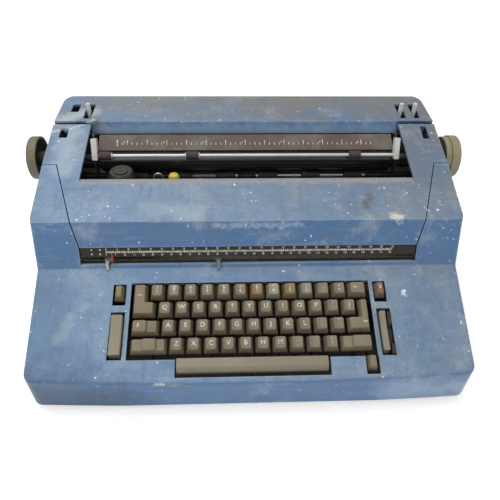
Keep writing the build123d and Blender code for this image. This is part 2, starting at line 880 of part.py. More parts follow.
# Base pan, feet and the screws that hold the case
def make_base_pan():
    edge_gap = wall + 0.6
    with BuildPart() as pan:
        with BuildSketch(Plane.XY.offset(foot_height)) as plan:
            with BuildLine():
                front = ThreePointArc(
                    (-front_half_width, front_y + front_bow + 2),
                    (0, front_y + 2),
                    (front_half_width, front_y + front_bow + 2),
                )
                Polyline(
                    front @ 1,
                    (deck_half_width, deck_rear_y),
                    (case_half_width, shoulder_y),
                    (case_half_width, rear_y),
                    (-case_half_width, rear_y),
                    (-case_half_width, shoulder_y),
                    (-deck_half_width, deck_rear_y),
                    front @ 0,
                )
            make_face()
            offset(amount=-edge_gap, kind=Kind.INTERSECTION, mode=Mode.REPLACE)
            fillet(plan.vertices().sort_by(Axis.Y)[:2], front_corner_radius - edge_gap)
            fillet(plan.vertices().sort_by(Axis.Y)[-2:], rear_corner_radius - edge_gap)
            with Locations(*screw_places):
                Circle(2.3, mode=Mode.SUBTRACT)
            with Locations((-60, 60), (110, 60)):
                with GridLocations(0, 14, 1, 5):
                    SlotOverall(80, 4, mode=Mode.SUBTRACT)
        extrude(amount=pan_thickness)
        with BuildSketch(Plane.XY.offset(pan_top_z)):
            with Locations((0, -8), (0, 14)):
                RectangleRounded(2 * (deck_half_width - 50), 6, 2.9)
        extrude(amount=2.5)
    save(pan, "base_pan")


make_base_pan()

with BuildPart() as rubber_feet:
    for x, y in foot_places:
        with BuildSketch(Plane.XY.offset(foot_height)):
            with Locations((x, y)):
                Circle(13)
        extrude(amount=-foot_height, taper=10)
save(rubber_feet, "rubber_feet")

with BuildPart() as case_screws:
    with BuildSketch(Plane.XY.offset(foot_height - 1.8)):
        with Locations(*screw_places):
            Circle(3.6)
    extrude(amount=1.8)
    with BuildSketch(Plane.XY.offset(foot_height)):
        with Locations(*screw_places):
            Circle(screw_radius)
    extrude(amount=boss_height - 2)
save(case_screws, "case_screws")

with BuildPart() as cord_gland:
    with BuildSketch(Plane.XZ.offset(-rear_y + 0.4)):
        with Locations((-180, 34)):
            Circle(7.7)
    extrude(amount=8)
    with BuildSketch(Plane.XZ.offset(-rear_y + 4.4)):
        with Locations((-180, 34)):
            Circle(11)
    extrude(amount=4.0)
    with BuildSketch(Plane.XZ.offset(-rear_y)):
        with Locations((-180, 34)):
            Circle(4.5)
    extrude(amount=20, mode=Mode.SUBTRACT)
save(cord_gland, "cord_gland")

# Feed rollers press on the platen from below, one row in front and one behind
feed_offset = platen_radius + touch_gap + feed_roller_radius
feed_front = (platen_y - 0.555 * feed_offset, platen_z - 0.832 * feed_offset)
feed_rear = (platen_y + 0.555 * feed_offset, platen_z - 0.832 * feed_offset)
frame_outer_x = frame_plate_x + frame_plate_thickness


# Frame side plates: cast plates that carry the rails, shafts, platen and cover hinges
def make_frame_plates():
    pin = hinge_pin_radius
    rim = pin + 0.6
    holes = [
        (platen_y, platen_z, platen_shaft_radius),
        (feed_front[0], feed_front[1], feed_shaft_radius),
        (feed_rear[0], feed_rear[1], feed_shaft_radius),
        (bail_pivot_y, bail_pivot_z, bail_shaft_radius),
        (operational_y, operational_z, operational_radius),
    ]
    with BuildPart() as plates:
        for side in (-1, 1):
            with BuildSketch(Plane.YZ.offset(side * frame_plate_x)):
                with BuildLine():
                    Polyline(
                        (-46, pan_top_z),
                        (168, pan_top_z),
                        (168, 150),
                        (160, 166),
                        (126, 166),
                        (hinge_y + rim, 172),
                        (hinge_y + rim, hinge_z),
                        (hinge_y - rim, hinge_z),
                        (hinge_y - 8, hinge_z - 3),
                        (80, cover_z(80) - wall - 4),
                        (40, cover_z(40) - wall - 14),
                        (-20, 132),
                        (-46, 124),
                        (rack_y - rack_size / 2, rack_z + 5),
                        (rack_y - rack_size / 2, rack_z - 8),
                        (-46, 96),
                        close=True,
                    )
                make_face()
                with Locations((hinge_y, hinge_z)):
                    Circle(rim)
                for y, z, radius in holes:
                    with Locations((y, z)):
                        Circle(radius + running_clearance, mode=Mode.SUBTRACT)
                with Locations((0, 68), (130, 66)):
                    RectangleRounded(50, 52, 8, mode=Mode.SUBTRACT)
            extrude(amount=side * frame_plate_thickness)
            with BuildSketch(Plane.XY.offset(pan_top_z)):
                with Locations((side * (frame_plate_x - 5), 30)):
                    Rectangle(10, 60)
            extrude(amount=3)
            pin_length = frame_plate_x - barrel_inner_x - 2
            with BuildSketch(Plane.YZ.offset(side * (frame_plate_x - pin_length))):
                with Locations((hinge_y, hinge_z)):
                    Circle(pin)
            extrude(amount=side * pin_length)
            with BuildSketch(Plane.YZ.offset(side * frame_plate_x)):
                with Locations((rear_lever_y, rear_lever_pivot_z)):
                    Circle(rear_lever_shaft_radius)
            extrude(amount=-side * rear_lever_shaft_length)
    save(plates, "frame_plates")


make_frame_plates()

# Tie bars join the two frame plates across the machine
with BuildPart() as tie_bars:
    with BuildSketch(Plane.YZ):
        with BuildLine():
            Polyline((-26, 54), (-12, 54), (-12, 57), (-22, 57), (-22, 88), (-26, 88), close=True)
        make_face()
        with BuildLine():
            Polyline((128, 118), (164, 118), (164, 132), (161, 132), (161, 121), (128, 121), close=True)
        make_face()
    extrude(amount=frame_plate_x, both=True)
save(tie_bars, "tie_bars")


# Rods and shafts that run across the machine
def make_rod(name, y, z, radius, left_x, right_x):
    with BuildPart() as rod:
        with BuildSketch(Plane.YZ.offset(left_x)):
            with Locations((y, z)):
                Circle(radius)
        extrude(amount=right_x - left_x)
    save(rod, name)


with BuildPart() as carrier_rails:
    with BuildSketch(Plane.YZ):
        with Locations((rear_rail_y, rear_rail_z), (front_rail_y, front_rail_z)):
            Circle(rail_radius)
    extrude(amount=frame_plate_x, both=True)
save(carrier_rails, "carrier_rails")

bail_rod_half = bail_arm_x + bail_arm_width
make_rod("bail_rod", bail_rod_y, bail_rod_z, bail_rod_radius, -bail_rod_half, bail_rod_half)
make_rod("platen_shaft", platen_y, platen_z, platen_shaft_radius, -knob_outer_x + 3, knob_outer_x - 3)


def make_tube(y, z, radius, bore, spans):
    """Rings or sleeves round one axis along X, one for each span."""
    with BuildPart() as tube:
        for left_x, right_x in spans:
            with BuildSketch(Plane.YZ.offset(left_x)):
                with Locations((y, z)):
                    Circle(radius)
                    Circle(bore, mode=Mode.SUBTRACT)
            extrude(amount=right_x - left_x)
    return tube


platen = make_tube(
    platen_y, platen_z, platen_radius, platen_shaft_radius, [(-platen_half_length, platen_half_length)]
)
save(platen, "platen")


# Platen knobs: cupped wheels of moulded plastic on the ends of the platen shaft
def make_knob(name, side):
    inner_x = knob_outer_x - knob_thickness
    rim = 3.0
    web = 3.5
    with BuildPart() as knob:
        with BuildSketch(Plane.XY.offset(platen_z)) as section:
            with BuildLine():
                Polyline(
                    (side * inner_x, platen_y + platen_shaft_radius),
                    (side * (inner_x - 8), platen_y + platen_shaft_radius),
                    (side * (inner_x - 8), platen_y + 9),
                    (side * (knob_outer_x - web), platen_y + 9),
                    (side * (knob_outer_x - web), platen_y + knob_radius - rim),
                    (side * inner_x, platen_y + knob_radius - rim),
                    (side * inner_x, platen_y + knob_radius),
                    (side * knob_outer_x, platen_y + knob_radius),
                    (side * knob_outer_x, platen_y),
                    (side * (knob_outer_x - 3), platen_y),
                    (side * (knob_outer_x - 3), platen_y + platen_shaft_radius),
                    close=True,
                )
            make_face()
            rim_edges = section.vertices().sort_by_distance(
                Vector(side * knob_outer_x, platen_y + knob_radius, platen_z)
            )
            fillet(rim_edges[0], 2.0)
        revolve(axis=Axis((0, platen_y, platen_z), (1, 0, 0)), revolution_arc=360)
        if side > 0:
            ring_right = inner_x - 0.5
            with BuildSketch(Plane.YZ.offset(ring_right - ring_thickness)):
                with Locations((platen_y, platen_z)):
                    Circle(knob_radius - 1.5)
                    Circle(9.3, mode=Mode.SUBTRACT)
            extrude(amount=ring_thickness)
    save(knob, name)


make_knob("left_platen_knob", -1)
make_knob("right_platen_knob", 1)

first_roller_x = -(feed_roller_count - 1) / 2 * feed_roller_pitch
for name, (y, z) in (("front_feed_rollers", feed_front), ("rear_feed_rollers", feed_rear)):
    with BuildPart() as feed:
        with BuildSketch(Plane.YZ.offset(-frame_outer_x)):
            with Locations((y, z)):
                Circle(feed_shaft_radius)
        extrude(amount=2 * frame_outer_x)
        for i in range(feed_roller_count):
            left_x = first_roller_x + i * feed_roller_pitch - feed_roller_length / 2
            with BuildSketch(Plane.YZ.offset(left_x)):
                with Locations((y, z)):
                    Circle(feed_roller_radius)
            extrude(amount=feed_roller_length)
    save(feed, name)

deflector_top = platen_z - platen_radius - 1.2
with BuildPart() as paper_deflector:
    with BuildSketch(Plane.YZ):
        with BuildLine():
            Polyline(
                (platen_y - 6, deflector_top - 0.8),
                (platen_y - 2.5, deflector_top),
                (platen_y + 2.5, deflector_top),
                (platen_y + 6, deflector_top - 0.8),
                (platen_y + 6, deflector_top - 2.0),
                (platen_y + 2.5, deflector_top - 1.2),
                (platen_y - 2.5, deflector_top - 1.2),
                (platen_y - 6, deflector_top - 2.0),
                close=True,
            )
        make_face()
    extrude(amount=frame_plate_x, both=True)
save(paper_deflector, "paper_deflector")

# Paper table: the sheet behind the platen whose front edge is the paper scale
with BuildPart() as paper_table:
    with BuildSketch(Plane.YZ):
        with BuildLine():
            Polyline(
                (75, 175),
                (93, 185.5),
                (97, 185),
                (108.5, 168),
                (107.3, 167.2),
                (96.2, 183.6),
                (93.2, 184),
                (75.7, 173.8),
                close=True,
            )
        make_face()
    extrude(amount=scale_half_length, both=True)
    with BuildSketch(Plane.YZ):
        with BuildLine():
            Polyline(
                (107.3, 167.2),
                (108.5, 168),
                (114, 160),
                (114, 146),
                (112.6, 146),
                (112.6, 159.4),
                close=True,
            )
        make_face()
    extrude(amount=frame_plate_x, both=True)
save(paper_table, "paper_table")

# Paper bail: a rod with three rollers, on two arms with moulded handles
handle_foot = [(bail_rod_y - 5.4, bail_rod_z - 3.4), (bail_rod_y + 4.2, bail_rod_z - 5.6)]
handle_tip = [(bail_rod_y + 12.5, bail_rod_z + 17.9), (bail_rod_y + 5.5, bail_rod_z + 20.9)]
arm_foot = [(bail_pivot_y + 4, bail_pivot_z - 2), (bail_pivot_y - 4, bail_pivot_z - 2)]
with BuildPart() as bail_arms:
    with BuildSketch(Plane.YZ):
        with BuildLine():
            Polyline(*handle_foot, *arm_foot, close=True)
        make_face()
        with Locations((bail_pivot_y, bail_pivot_z)):
            Circle(5.5)
    arm_mid = bail_arm_x + bail_arm_width / 2
    extrude(amount=arm_mid + 1.2, both=True)
    with BuildSketch(Plane.YZ):
        with Locations((65, 145)):
            Rectangle(60, 80)
    extrude(amount=arm_mid - 1.2, both=True, mode=Mode.SUBTRACT)
    with BuildSketch(Plane.YZ):
        with Locations((bail_pivot_y, bail_pivot_z)):
            Circle(bail_shaft_radius)
    extrude(amount=frame_outer_x, both=True)
save(bail_arms, "bail_arms")

with BuildPart() as bail_handles:
    with BuildSketch(Plane.YZ):
        with BuildLine():
            Polyline(*handle_foot, *handle_tip, close=True)
        make_face()
        with Locations((bail_rod_y, bail_rod_z)):
            Circle(bail_rod_radius, mode=Mode.SUBTRACT)
    extrude(amount=bail_arm_x + bail_arm_width, both=True)
    with BuildSketch(Plane.YZ):
        with Locations((70, 175)):
            Rectangle(60, 80)
    extrude(amount=bail_arm_x, both=True, mode=Mode.SUBTRACT)
save(bail_handles, "bail_handles")

bail_roller_places = (-182.0, -70.5, 139.9)
bail_rollers = make_tube(
    bail_rod_y,
    bail_rod_z,
    bail_roller_radius,
    bail_rod_radius + running_clearance,
    [(x - bail_roller_length / 2, x + bail_roller_length / 2) for x in bail_roller_places],
)
save(bail_rollers, "bail_rollers")


# Carrier: the casting that runs on the two rails and holds the printing parts
def make_carrier():
    post_inner = 20.0
    post_outer = 26.0
    shelf_z = 136.0
    shelf_thickness = 3.0
    with BuildPart() as carrier:
        with BuildSketch(Plane.YZ.offset(type_element_x)):
            with BuildLine():
                Polyline(
                    (-18, 102), (50, 102), (50, 124), (-10, 124), (-18, 120), close=True
                )
            make_face()
            for y, z in ((rear_rail_y, rear_rail_z), (front_rail_y, front_rail_z)):
                with Locations((y, z)):
                    Circle(rail_radius + running_clearance, mode=Mode.SUBTRACT)
        extrude(amount=post_outer, both=True)
        for side in (-1, 1):
            with BuildSketch(Plane.YZ.offset(type_element_x + side * post_inner)):
                with Locations((34, 130)):
                    Rectangle(28, 14)
            extrude(amount=side * (post_outer - post_inner))
            with BuildSketch(Plane.XY.offset(shelf_z)):
                inner = type_element_x + side * post_inner
                outer = type_element_x + side * 76.0
                with Locations(((inner + outer) / 2, 20)):
                    Rectangle(outer - inner if side > 0 else inner - outer, 56)
            extrude(amount=shelf_thickness)
            with BuildSketch(Plane.XY.offset(shelf_z)):
                with Locations((type_element_x + side * 66.0, 37)):
                    Circle(2)
            extrude(amount=12)
        with BuildSketch(Plane.YZ):
            with Locations((38, 130)):
                Circle(2 + running_clearance)
        extrude(amount=-300, mode=Mode.SUBTRACT)
    save(carrier, "carrier")


make_carrier()

with BuildPart() as element_rocker:
    with BuildSketch(Plane.YZ.offset(type_element_x)):
        with Locations((41, 132)):
            RectangleRounded(20, 9, 2)
    extrude(amount=14, both=True)
    with BuildSketch(Plane.YZ.offset(type_element_x)):
        with Locations((38, 130)):
            Circle(2)
    extrude(amount=24, both=True)
    with BuildSketch(Plane.XY.offset(134)):
        with Locations((type_element_x, type_element_y)):
            Circle(8)
    extrude(amount=4.5)
    with BuildSketch(Plane.XY.offset(136)):
        with Locations((type_element_x, type_element_y)):
            Circle(3)
    extrude(amount=12)
save(element_rocker, "element_rocker")


# Type element: a hollow-footed ball with four bands of type and a notched detent skirt
def make_type_element():
    foot_z = type_element_z - 12.6
    crown_z = type_element_z + 11.0
    with BuildPart() as element:
        with BuildSketch(Plane.XZ.offset(-type_element_y)) as section:
            with Locations((type_element_x, type_element_z)):
                Circle(type_element_radius)
            with Locations((type_element_x, crown_z + 20)):
                Rectangle(60, 40, mode=Mode.SUBTRACT)
            with Locations((type_element_x, foot_z - 20)):
                Rectangle(60, 40, mode=Mode.SUBTRACT)
            with Locations((type_element_x - 30, type_element_z)):
                Rectangle(60, 60, mode=Mode.SUBTRACT)
        revolve(axis=Axis((type_element_x, type_element_y, 0), (0, 0, 1)), revolution_arc=360)
        with BuildSketch(Plane.XY.offset(crown_z)):
            with Locations((type_element_x, type_element_y)):
                Circle(9)
        extrude(amount=1.2)
        with BuildSketch(Plane.XY.offset(foot_z)):
            with Locations((type_element_x, type_element_y)):
                Circle(3 + running_clearance)
        extrude(amount=10, mode=Mode.SUBTRACT)
        with BuildSketch(Plane.XY.offset(foot_z)):
            with Locations((type_element_x, type_element_y)):
                with PolarLocations(11.6, 22):
                    Rectangle(2.4, 1.4)
        extrude(amount=2.0, mode=Mode.SUBTRACT)
    save(element, "type_element")


make_type_element()

with BuildPart() as ribbon_cartridge:
    with BuildSketch(Plane.XY.offset(139.2)):
        with Locations((type_element_x, 6)):
            RectangleRounded(92, 36, 9)
        with Locations((type_element_x, 26)):
            Rectangle(34, 8, mode=Mode.SUBTRACT)
    extrude(amount=13.5)
    fillet(ribbon_cartridge.faces().sort_by(Axis.Z)[-1].edges(), 1.5)
save(ribbon_cartridge, "ribbon_cartridge")

for name, side in (("takeup_tape_spool", -1), ("supply_tape_spool", 1)):
    with BuildPart() as spool:
        centre = (type_element_x + side * 66.0, 37)
        for base, radius, height in ((139.3, 10.0, 1.4), (140.7, 6.5, 7.2), (147.9, 10.0, 1.6)):
            with BuildSketch(Plane.XY.offset(base)):
                with Locations(centre):
                    Circle(radius)
            extrude(amount=height)
        with BuildSketch(Plane.XY.offset(139)):
            with Locations(centre):
                Circle(2 + running_clearance)
        extrude(amount=12, mode=Mode.SUBTRACT)
    save(spool, name)

# Position pointer: a thin arm that passes under the margin scale and up its front
arm_z = margin_strip_z - 1.0
pointer_top_z = margin_strip_z + 6.5
pointer_gap = 2.2
with BuildPart() as position_pointer:
    with BuildSketch(Plane.YZ.offset(type_element_x)):
        with BuildLine():
            Polyline(
                (-18, 117),
                (-18, 119.5),
                (rack_y + 7, 119.5),
                (rack_y + 2, arm_z),
                (wall_y(arm_z) - pointer_gap, arm_z),
                (wall_y(pointer_top_z) - pointer_gap, pointer_top_z),
                (wall_y(pointer_top_z) - pointer_gap - 1.2, pointer_top_z),
                (wall_y(arm_z - 1.6) - pointer_gap - 1.2, arm_z - 1.6),
                (rack_y + 2.8, arm_z - 1.6),
                (rack_y + 8, 117),
                close=True,
            )
        make_face()
    extrude(amount=1.2, both=True)
save(position_pointer, "position_pointer")

# Margin scale, rack and the two margin stops that slide along it
strip_top_z = apron_z - 0.5
strip_back = strip_inset + strip_thickness
bracket_low_z = margin_strip_z + 1.0
bracket_high_z = margin_strip_z + 8.0
with BuildPart() as margin_scale:
    with BuildSketch(Plane.YZ):
        with BuildLine():
            Polyline(
                (wall_y(margin_strip_z) + strip_inset, margin_strip_z),
                (wall_y(strip_top_z) + strip_inset, strip_top_z),
                (wall_y(strip_top_z) + strip_back, strip_top_z),
                (wall_y(margin_strip_z) + strip_back, margin_strip_z),
                close=True,
            )
        make_face()
    extrude(amount=cover_front_half_width, both=True)
    for left_x in (-cover_front_half_width, cover_front_half_width - 3):
        with BuildSketch(Plane.YZ.offset(left_x)):
            with BuildLine():
                Polyline(
                    (wall_y(bracket_low_z) + strip_back - 0.5, bracket_low_z),
                    (rack_y - 2, bracket_low_z),
                    (rack_y - 2, rack_z + rack_size / 2),
                    (rack_y + rack_size / 2, rack_z + rack_size / 2),
                    (rack_y + rack_size / 2, bracket_high_z),
                    (wall_y(bracket_high_z) + strip_back - 0.5, bracket_high_z),
                    close=True,
                )
            make_face()
        extrude(amount=3)
save(margin_scale, "margin_scale")

with BuildPart() as margin_rack:
    with BuildSketch(Plane.XZ.offset(-rack_y)):
        with Locations((0, rack_z)):
            Rectangle(2 * frame_plate_x, rack_size)
        with Locations((0, rack_z + rack_size / 2)):
            with GridLocations(2.5 * 2.54, 1, 56, 1):
                Rectangle(2.54, 2.4, mode=Mode.SUBTRACT)
    extrude(amount=rack_size / 2, both=True)
save(margin_rack, "margin_rack")

finger_top_z = margin_strip_z - 4.0
finger_low_z = deck_rear_z + 1.0
finger_reach = 5.0
for name, centre_x in (("left_margin_stop", left_margin_x), ("right_margin_stop", right_margin_x)):
    with BuildPart() as stop:
        reach = rack_size / 2 + 0.3
        with BuildSketch(Plane.YZ.offset(centre_x)):
            with Locations((rack_y, rack_z)):
                Rectangle(2 * reach + 3, 2 * reach + 3)
                Rectangle(2 * reach, 2 * reach, mode=Mode.SUBTRACT)
        extrude(amount=margin_stop_width / 2, both=True)
        with BuildSketch(Plane.YZ.offset(centre_x)):
            with BuildLine():
                Polyline(
                    (rack_y - reach - 1.5, rack_z),
                    (rack_y - reach, rack_z),
                    (rack_y - reach, finger_top_z),
                    (wall_y(finger_top_z) - finger_reach, finger_top_z),
                    (wall_y(finger_low_z) - finger_reach + 1.6, finger_low_z),
                    (wall_y(finger_low_z) - finger_reach + 3.2, finger_low_z),
                    (wall_y(finger_top_z) - finger_reach + 1.4, finger_top_z - 1.6),
                    (rack_y - reach - 1.5, finger_top_z - 1.6),
                    close=True,
                )
            make_face()
        extrude(amount=2, both=True)
    save(stop, name)


# Motor, mount, pulleys and belt at the left rear
with BuildPart() as motor:
    with BuildSketch(Plane.YZ.offset(motor_left_x)):
        with Locations((motor_y, motor_z)):
            Circle(motor_radius)
    extrude(amount=motor_right_x - motor_left_x)
    chamfer(motor.edges().filter_by(GeomType.CIRCLE), 4)
    with BuildSketch(Plane.YZ.offset(motor_left_x - 6)):
        with Locations((motor_y, motor_z)):
            Circle(9)
    extrude(amount=6)
    with BuildSketch(Plane.YZ.offset(motor_left_x - 8)):
        with Locations((motor_y, motor_z)):
            Circle(motor_shaft_radius + running_clearance)
    extrude(amount=motor_right_x - motor_left_x + 20, mode=Mode.SUBTRACT)
save(motor, "motor")

with BuildPart() as motor_mount:
    for x in (motor_left_x + 14, motor_right_x - 14):
        with BuildSketch(Plane.YZ.offset(x)):
            with Locations((motor_y, (pan_top_z + motor_z - 12) / 2)):
                Rectangle(58, motor_z - 12 - pan_top_z)
            with Locations((motor_y, motor_z)):
                Circle(motor_radius + 0.2, mode=Mode.SUBTRACT)
        extrude(amount=4, both=True)
save(motor_mount, "motor_mount")

pulley_half = pulley_width / 2 + 1.5


def make_driven_shaft(name, centre, shaft_radius, ends, pulley_radius):
    with BuildPart() as shaft:
        with BuildSketch(Plane.YZ.offset(ends[0])):
            with Locations(centre):
                Circle(shaft_radius)
        extrude(amount=ends[1] - ends[0])
        with BuildSketch(Plane.YZ.offset(pulley_x)):
            with Locations(centre):
                Circle(pulley_radius)
        extrude(amount=pulley_half, both=True)
    save(shaft, name)


motor_shaft_ends = (pulley_x - pulley_half, motor_right_x + 4)
motor_centre = (motor_y, motor_z)
make_driven_shaft("motor_shaft", motor_centre, motor_shaft_radius, motor_shaft_ends, motor_pulley_radius)
make_driven_shaft(
    "operational_shaft",
    (operational_y, operational_z),
    operational_radius,
    (-frame_outer_x, frame_outer_x),
    operational_pulley_radius,
)

with BuildPart() as drive_belt:
    for grown, mode in ((touch_gap + belt_thickness, Mode.ADD), (touch_gap, Mode.SUBTRACT)):
        with BuildSketch(Plane.YZ.offset(pulley_x)):
            with Locations((motor_y, motor_z)):
                Circle(motor_pulley_radius + grown)
            with Locations((operational_y, operational_z)):
                Circle(operational_pulley_radius + grown)
            make_hull()
        extrude(amount=pulley_width / 2 - 1, both=True, mode=mode)
save(drive_belt, "drive_belt")


# Levers that stand up through the rear cover, each on a short shaft from a frame plate
def make_rear_lever(name, x):
    stalk_top_z = rear_lever_top_z - 14
    with BuildPart() as lever:
        with BuildSketch(Plane.YZ.offset(x)):
            with Locations((rear_lever_y, rear_lever_pivot_z)):
                Circle(6)
            with Locations((rear_lever_y, (rear_lever_pivot_z + stalk_top_z) / 2)):
                Rectangle(7, stalk_top_z - rear_lever_pivot_z)
        extrude(amount=1.5, both=True)
        with BuildSketch(Plane.XY.offset(stalk_top_z - 10)):
            with Locations((x, rear_lever_y)):
                RectangleRounded(rear_lever_width, 5, 1)
        extrude(amount=rear_lever_top_z - stalk_top_z + 10)
        with BuildSketch(Plane.YZ.offset(x)):
            with Locations((rear_lever_y, rear_lever_pivot_z)):
                Circle(rear_lever_shaft_radius + running_clearance)
        extrude(amount=10, both=True, mode=Mode.SUBTRACT)
    save(lever, name)


make_rear_lever("copy_control_lever", copy_lever_x)
make_rear_lever("line_space_lever", line_space_lever_x)
make_rear_lever("paper_release_lever", paper_release_lever_x)
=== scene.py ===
import math

import bmesh
import bpy
from mathutils import Matrix, Vector


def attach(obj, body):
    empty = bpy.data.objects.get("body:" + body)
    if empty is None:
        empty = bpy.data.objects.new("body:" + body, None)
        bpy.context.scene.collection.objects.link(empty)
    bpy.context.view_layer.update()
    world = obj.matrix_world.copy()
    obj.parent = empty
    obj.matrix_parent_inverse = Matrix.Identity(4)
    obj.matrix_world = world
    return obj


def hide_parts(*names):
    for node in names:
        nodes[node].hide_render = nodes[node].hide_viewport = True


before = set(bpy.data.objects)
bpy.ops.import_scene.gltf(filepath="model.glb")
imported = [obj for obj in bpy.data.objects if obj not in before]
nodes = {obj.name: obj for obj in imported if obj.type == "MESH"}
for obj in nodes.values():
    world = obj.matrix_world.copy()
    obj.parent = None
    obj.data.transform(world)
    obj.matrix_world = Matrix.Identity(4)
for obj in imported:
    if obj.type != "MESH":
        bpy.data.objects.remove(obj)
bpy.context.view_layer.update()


# The view: the photograph looks down on the front of the machine, a little from its
# left, and the camera stands where the key pitch and the margin scale put it.
def new_object(name, data):
    """A new object in the scene."""
    made = bpy.data.objects.new(name, data)
    bpy.context.scene.collection.objects.link(made)
    return made


pitch, yaw, roll = math.radians(42.72), math.radians(2.95), math.radians(1.37)
forward = Vector((math.sin(yaw) * math.cos(pitch), math.cos(yaw) * math.cos(pitch), -math.sin(pitch)))
level = Vector((math.cos(yaw), -math.sin(yaw), 0))
rise = level.cross(forward)
across = math.cos(roll) * level + math.sin(roll) * rise
upward = math.cos(roll) * rise - math.sin(roll) * level
camera = new_object("view", bpy.data.cameras.new("view"))
camera.matrix_world = Matrix((across, upward, -forward)).transposed().to_4x4()
camera.location = (-0.0222, -0.4895, 0.5199)
camera.data.sensor_width = 36
camera.data.lens = 36
camera.data.clip_start = 0.01
bpy.context.scene.camera = camera
bpy.context.scene.view_settings.view_transform = "Standard"


# Painted steel case: housing, hinged cover and rear cover share one coat of mid-blue
# paint over bonded primer, now dull. Dust and grime lie on all that faces up, most at the
# rear and the right, and white wall paint has spattered it. Painted light is laid in the
# coat too: paler upward faces and pale edge, ridge and lip lines as painted highlight, and
# dark holes, seams and one ear's inner edge as painted shade.
def linear(code):
    """An sRGB hex colour as linear red, green, blue and alpha."""
    parts = [int(code[i:i + 2], 16) / 255 for i in (1, 3, 5)]
    return [v / 12.92 if v <= 0.04045 else ((v + 0.055) / 1.055) ** 2.4 for v in parts] + [1.0]


def put(tree, kind, inputs=None, operation=None, **settings):
    """Add a node: its settings by name, its inputs by name or number, as values or links.

    A kind without Node in its name is a shader node. As an input, a node stands for its first
    output and a hex code for its colour."""
    made = tree.nodes.new(kind if "Node" in kind else "ShaderNode" + kind)
    if operation:
        made.operation = operation
    for name, value in settings.items():
        setattr(made, name, value)
    for name, value in (inputs or {}).items():
        if isinstance(value, bpy.types.Node):
            value = value.outputs[0]
        if isinstance(value, bpy.types.NodeSocket):
            tree.links.new(value, made.inputs[name])
        else:
            made.inputs[name].default_value = linear(value) if isinstance(value, str) else value
    return made


def new_finish(name):
    """A material with only its output and its main shader, and its tree."""
    finish = bpy.data.materials.new(name)
    finish.use_nodes = True
    tree = finish.node_tree
    tree.nodes.clear()
    shader = put(tree, "BsdfPrincipled")
    put(tree, "OutputMaterial", {"Surface": shader})
    return finish, tree


def coat_with(tree, tone, layers, gloss, relief, **constants):
    """Lay (mask, colour) layers over a tone, then set roughness, relief and constants.

    gloss is (mask, roughness where it is 0, where it is 1), and relief is (height, strength,
    depth). A number as height is the scale of a grain of 1.1 to 1.5 mm, drawn coarser than
    real so that it shows."""
    shader = tree.nodes["Principled BSDF"]
    for mask, code in layers:
        tone = put(tree, "Mix", {"Factor": mask, 6: tone.outputs[2], 7: code}, data_type="RGBA")
    tree.links.new(tone.outputs[2], shader.inputs["Base Color"])
    if gloss:
        rough = put(tree, "MapRange", {"Value": gloss[0], "To Min": gloss[1], "To Max": gloss[2]})
        tree.links.new(rough.outputs[0], shader.inputs["Roughness"])
    if relief:
        height, strength, depth = relief
        if isinstance(height, float):
            spot = put(tree, "TexCoord").outputs["Object"]
            height = put(tree, "TexNoise", {"Vector": spot, "Scale": height, "Detail": 2.0})
        bump = put(tree, "Bump", {"Strength": strength, "Distance": depth, "Height": height})
        tree.links.new(bump.outputs[0], shader.inputs["Normal"])
    for name, value in constants.items():
        shader.inputs[name.replace("_", " ")].default_value = value


# A pattern's scale is 1000 over its size in mm: dust clouds are 90 mm, patches 26 mm and
# crumbs 2.4 mm, which is coarser than real dust, so that they show
paint, tree = new_finish("case_paint_worn_blue")
place = put(tree, "TexCoord")
spot = place.outputs["Object"]
facing = put(tree, "SeparateXYZ", {0: place.outputs["Normal"]})
xyz = put(tree, "SeparateXYZ", {0: spot})
cloud = put(tree, "TexNoise", {"Vector": spot, "Scale": 11.0, "Detail": 7.0, "Roughness": 0.66})
patch = put(tree, "TexNoise", {"Vector": spot, "Scale": 38.0, "Detail": 6.0, "Roughness": 0.65})
grain = put(tree, "TexNoise", {"Vector": spot, "Scale": 420.0, "Detail": 3.0})
blue = put(tree, "Mix", {"Factor": patch, 6: "#3b6592", 7: "#557ca8"}, data_type="RGBA")
up = put(tree, "MapRange", {
    "Value": facing.outputs["Z"], "From Min": 0.30, "From Max": 0.85}, interpolation_type="SMOOTHSTEP")
rear = put(tree, "MapRange", {"Value": xyz.outputs["Y"], "From Min": -0.10, "From Max": 0.15})
right = put(tree, "MapRange", {"Value": xyz.outputs["X"], "From Min": -0.25, "From Max": 0.25})
soil = put(tree, "Math", {0: rear, 1: right}, "ADD")
soil = put(tree, "MapRange", {"Value": soil, "From Min": 0.45, "From Max": 1.65})
# The upward faces are painted paler, partly dust and partly painted light from above: where the dust lies
# thin, at the front and left, its colour is a paler blue of the paint itself
dust_and_top_light = put(tree, "Mix", {"Factor": soil, 6: "#93aabf", 7: "#7b776e"}, data_type="RGBA")
lie = put(tree, "MapRange", {
    "Value": cloud, "From Min": 0.33, "From Max": 0.62, "To Min": 0.28, "To Max": 0.92})
lie = put(tree, "Math", {0: lie, 1: up}, "MULTIPLY")
thick = put(tree, "MapRange", {"Value": soil, "To Min": 0.80, "To Max": 1.10})
lie = put(tree, "Math", {0: lie, 1: thick}, "MULTIPLY", use_clamp=True)
coat = put(tree, "Mix", {"Factor": lie, 6: blue.outputs[2], 7: dust_and_top_light.outputs[2]}, data_type="RGBA")

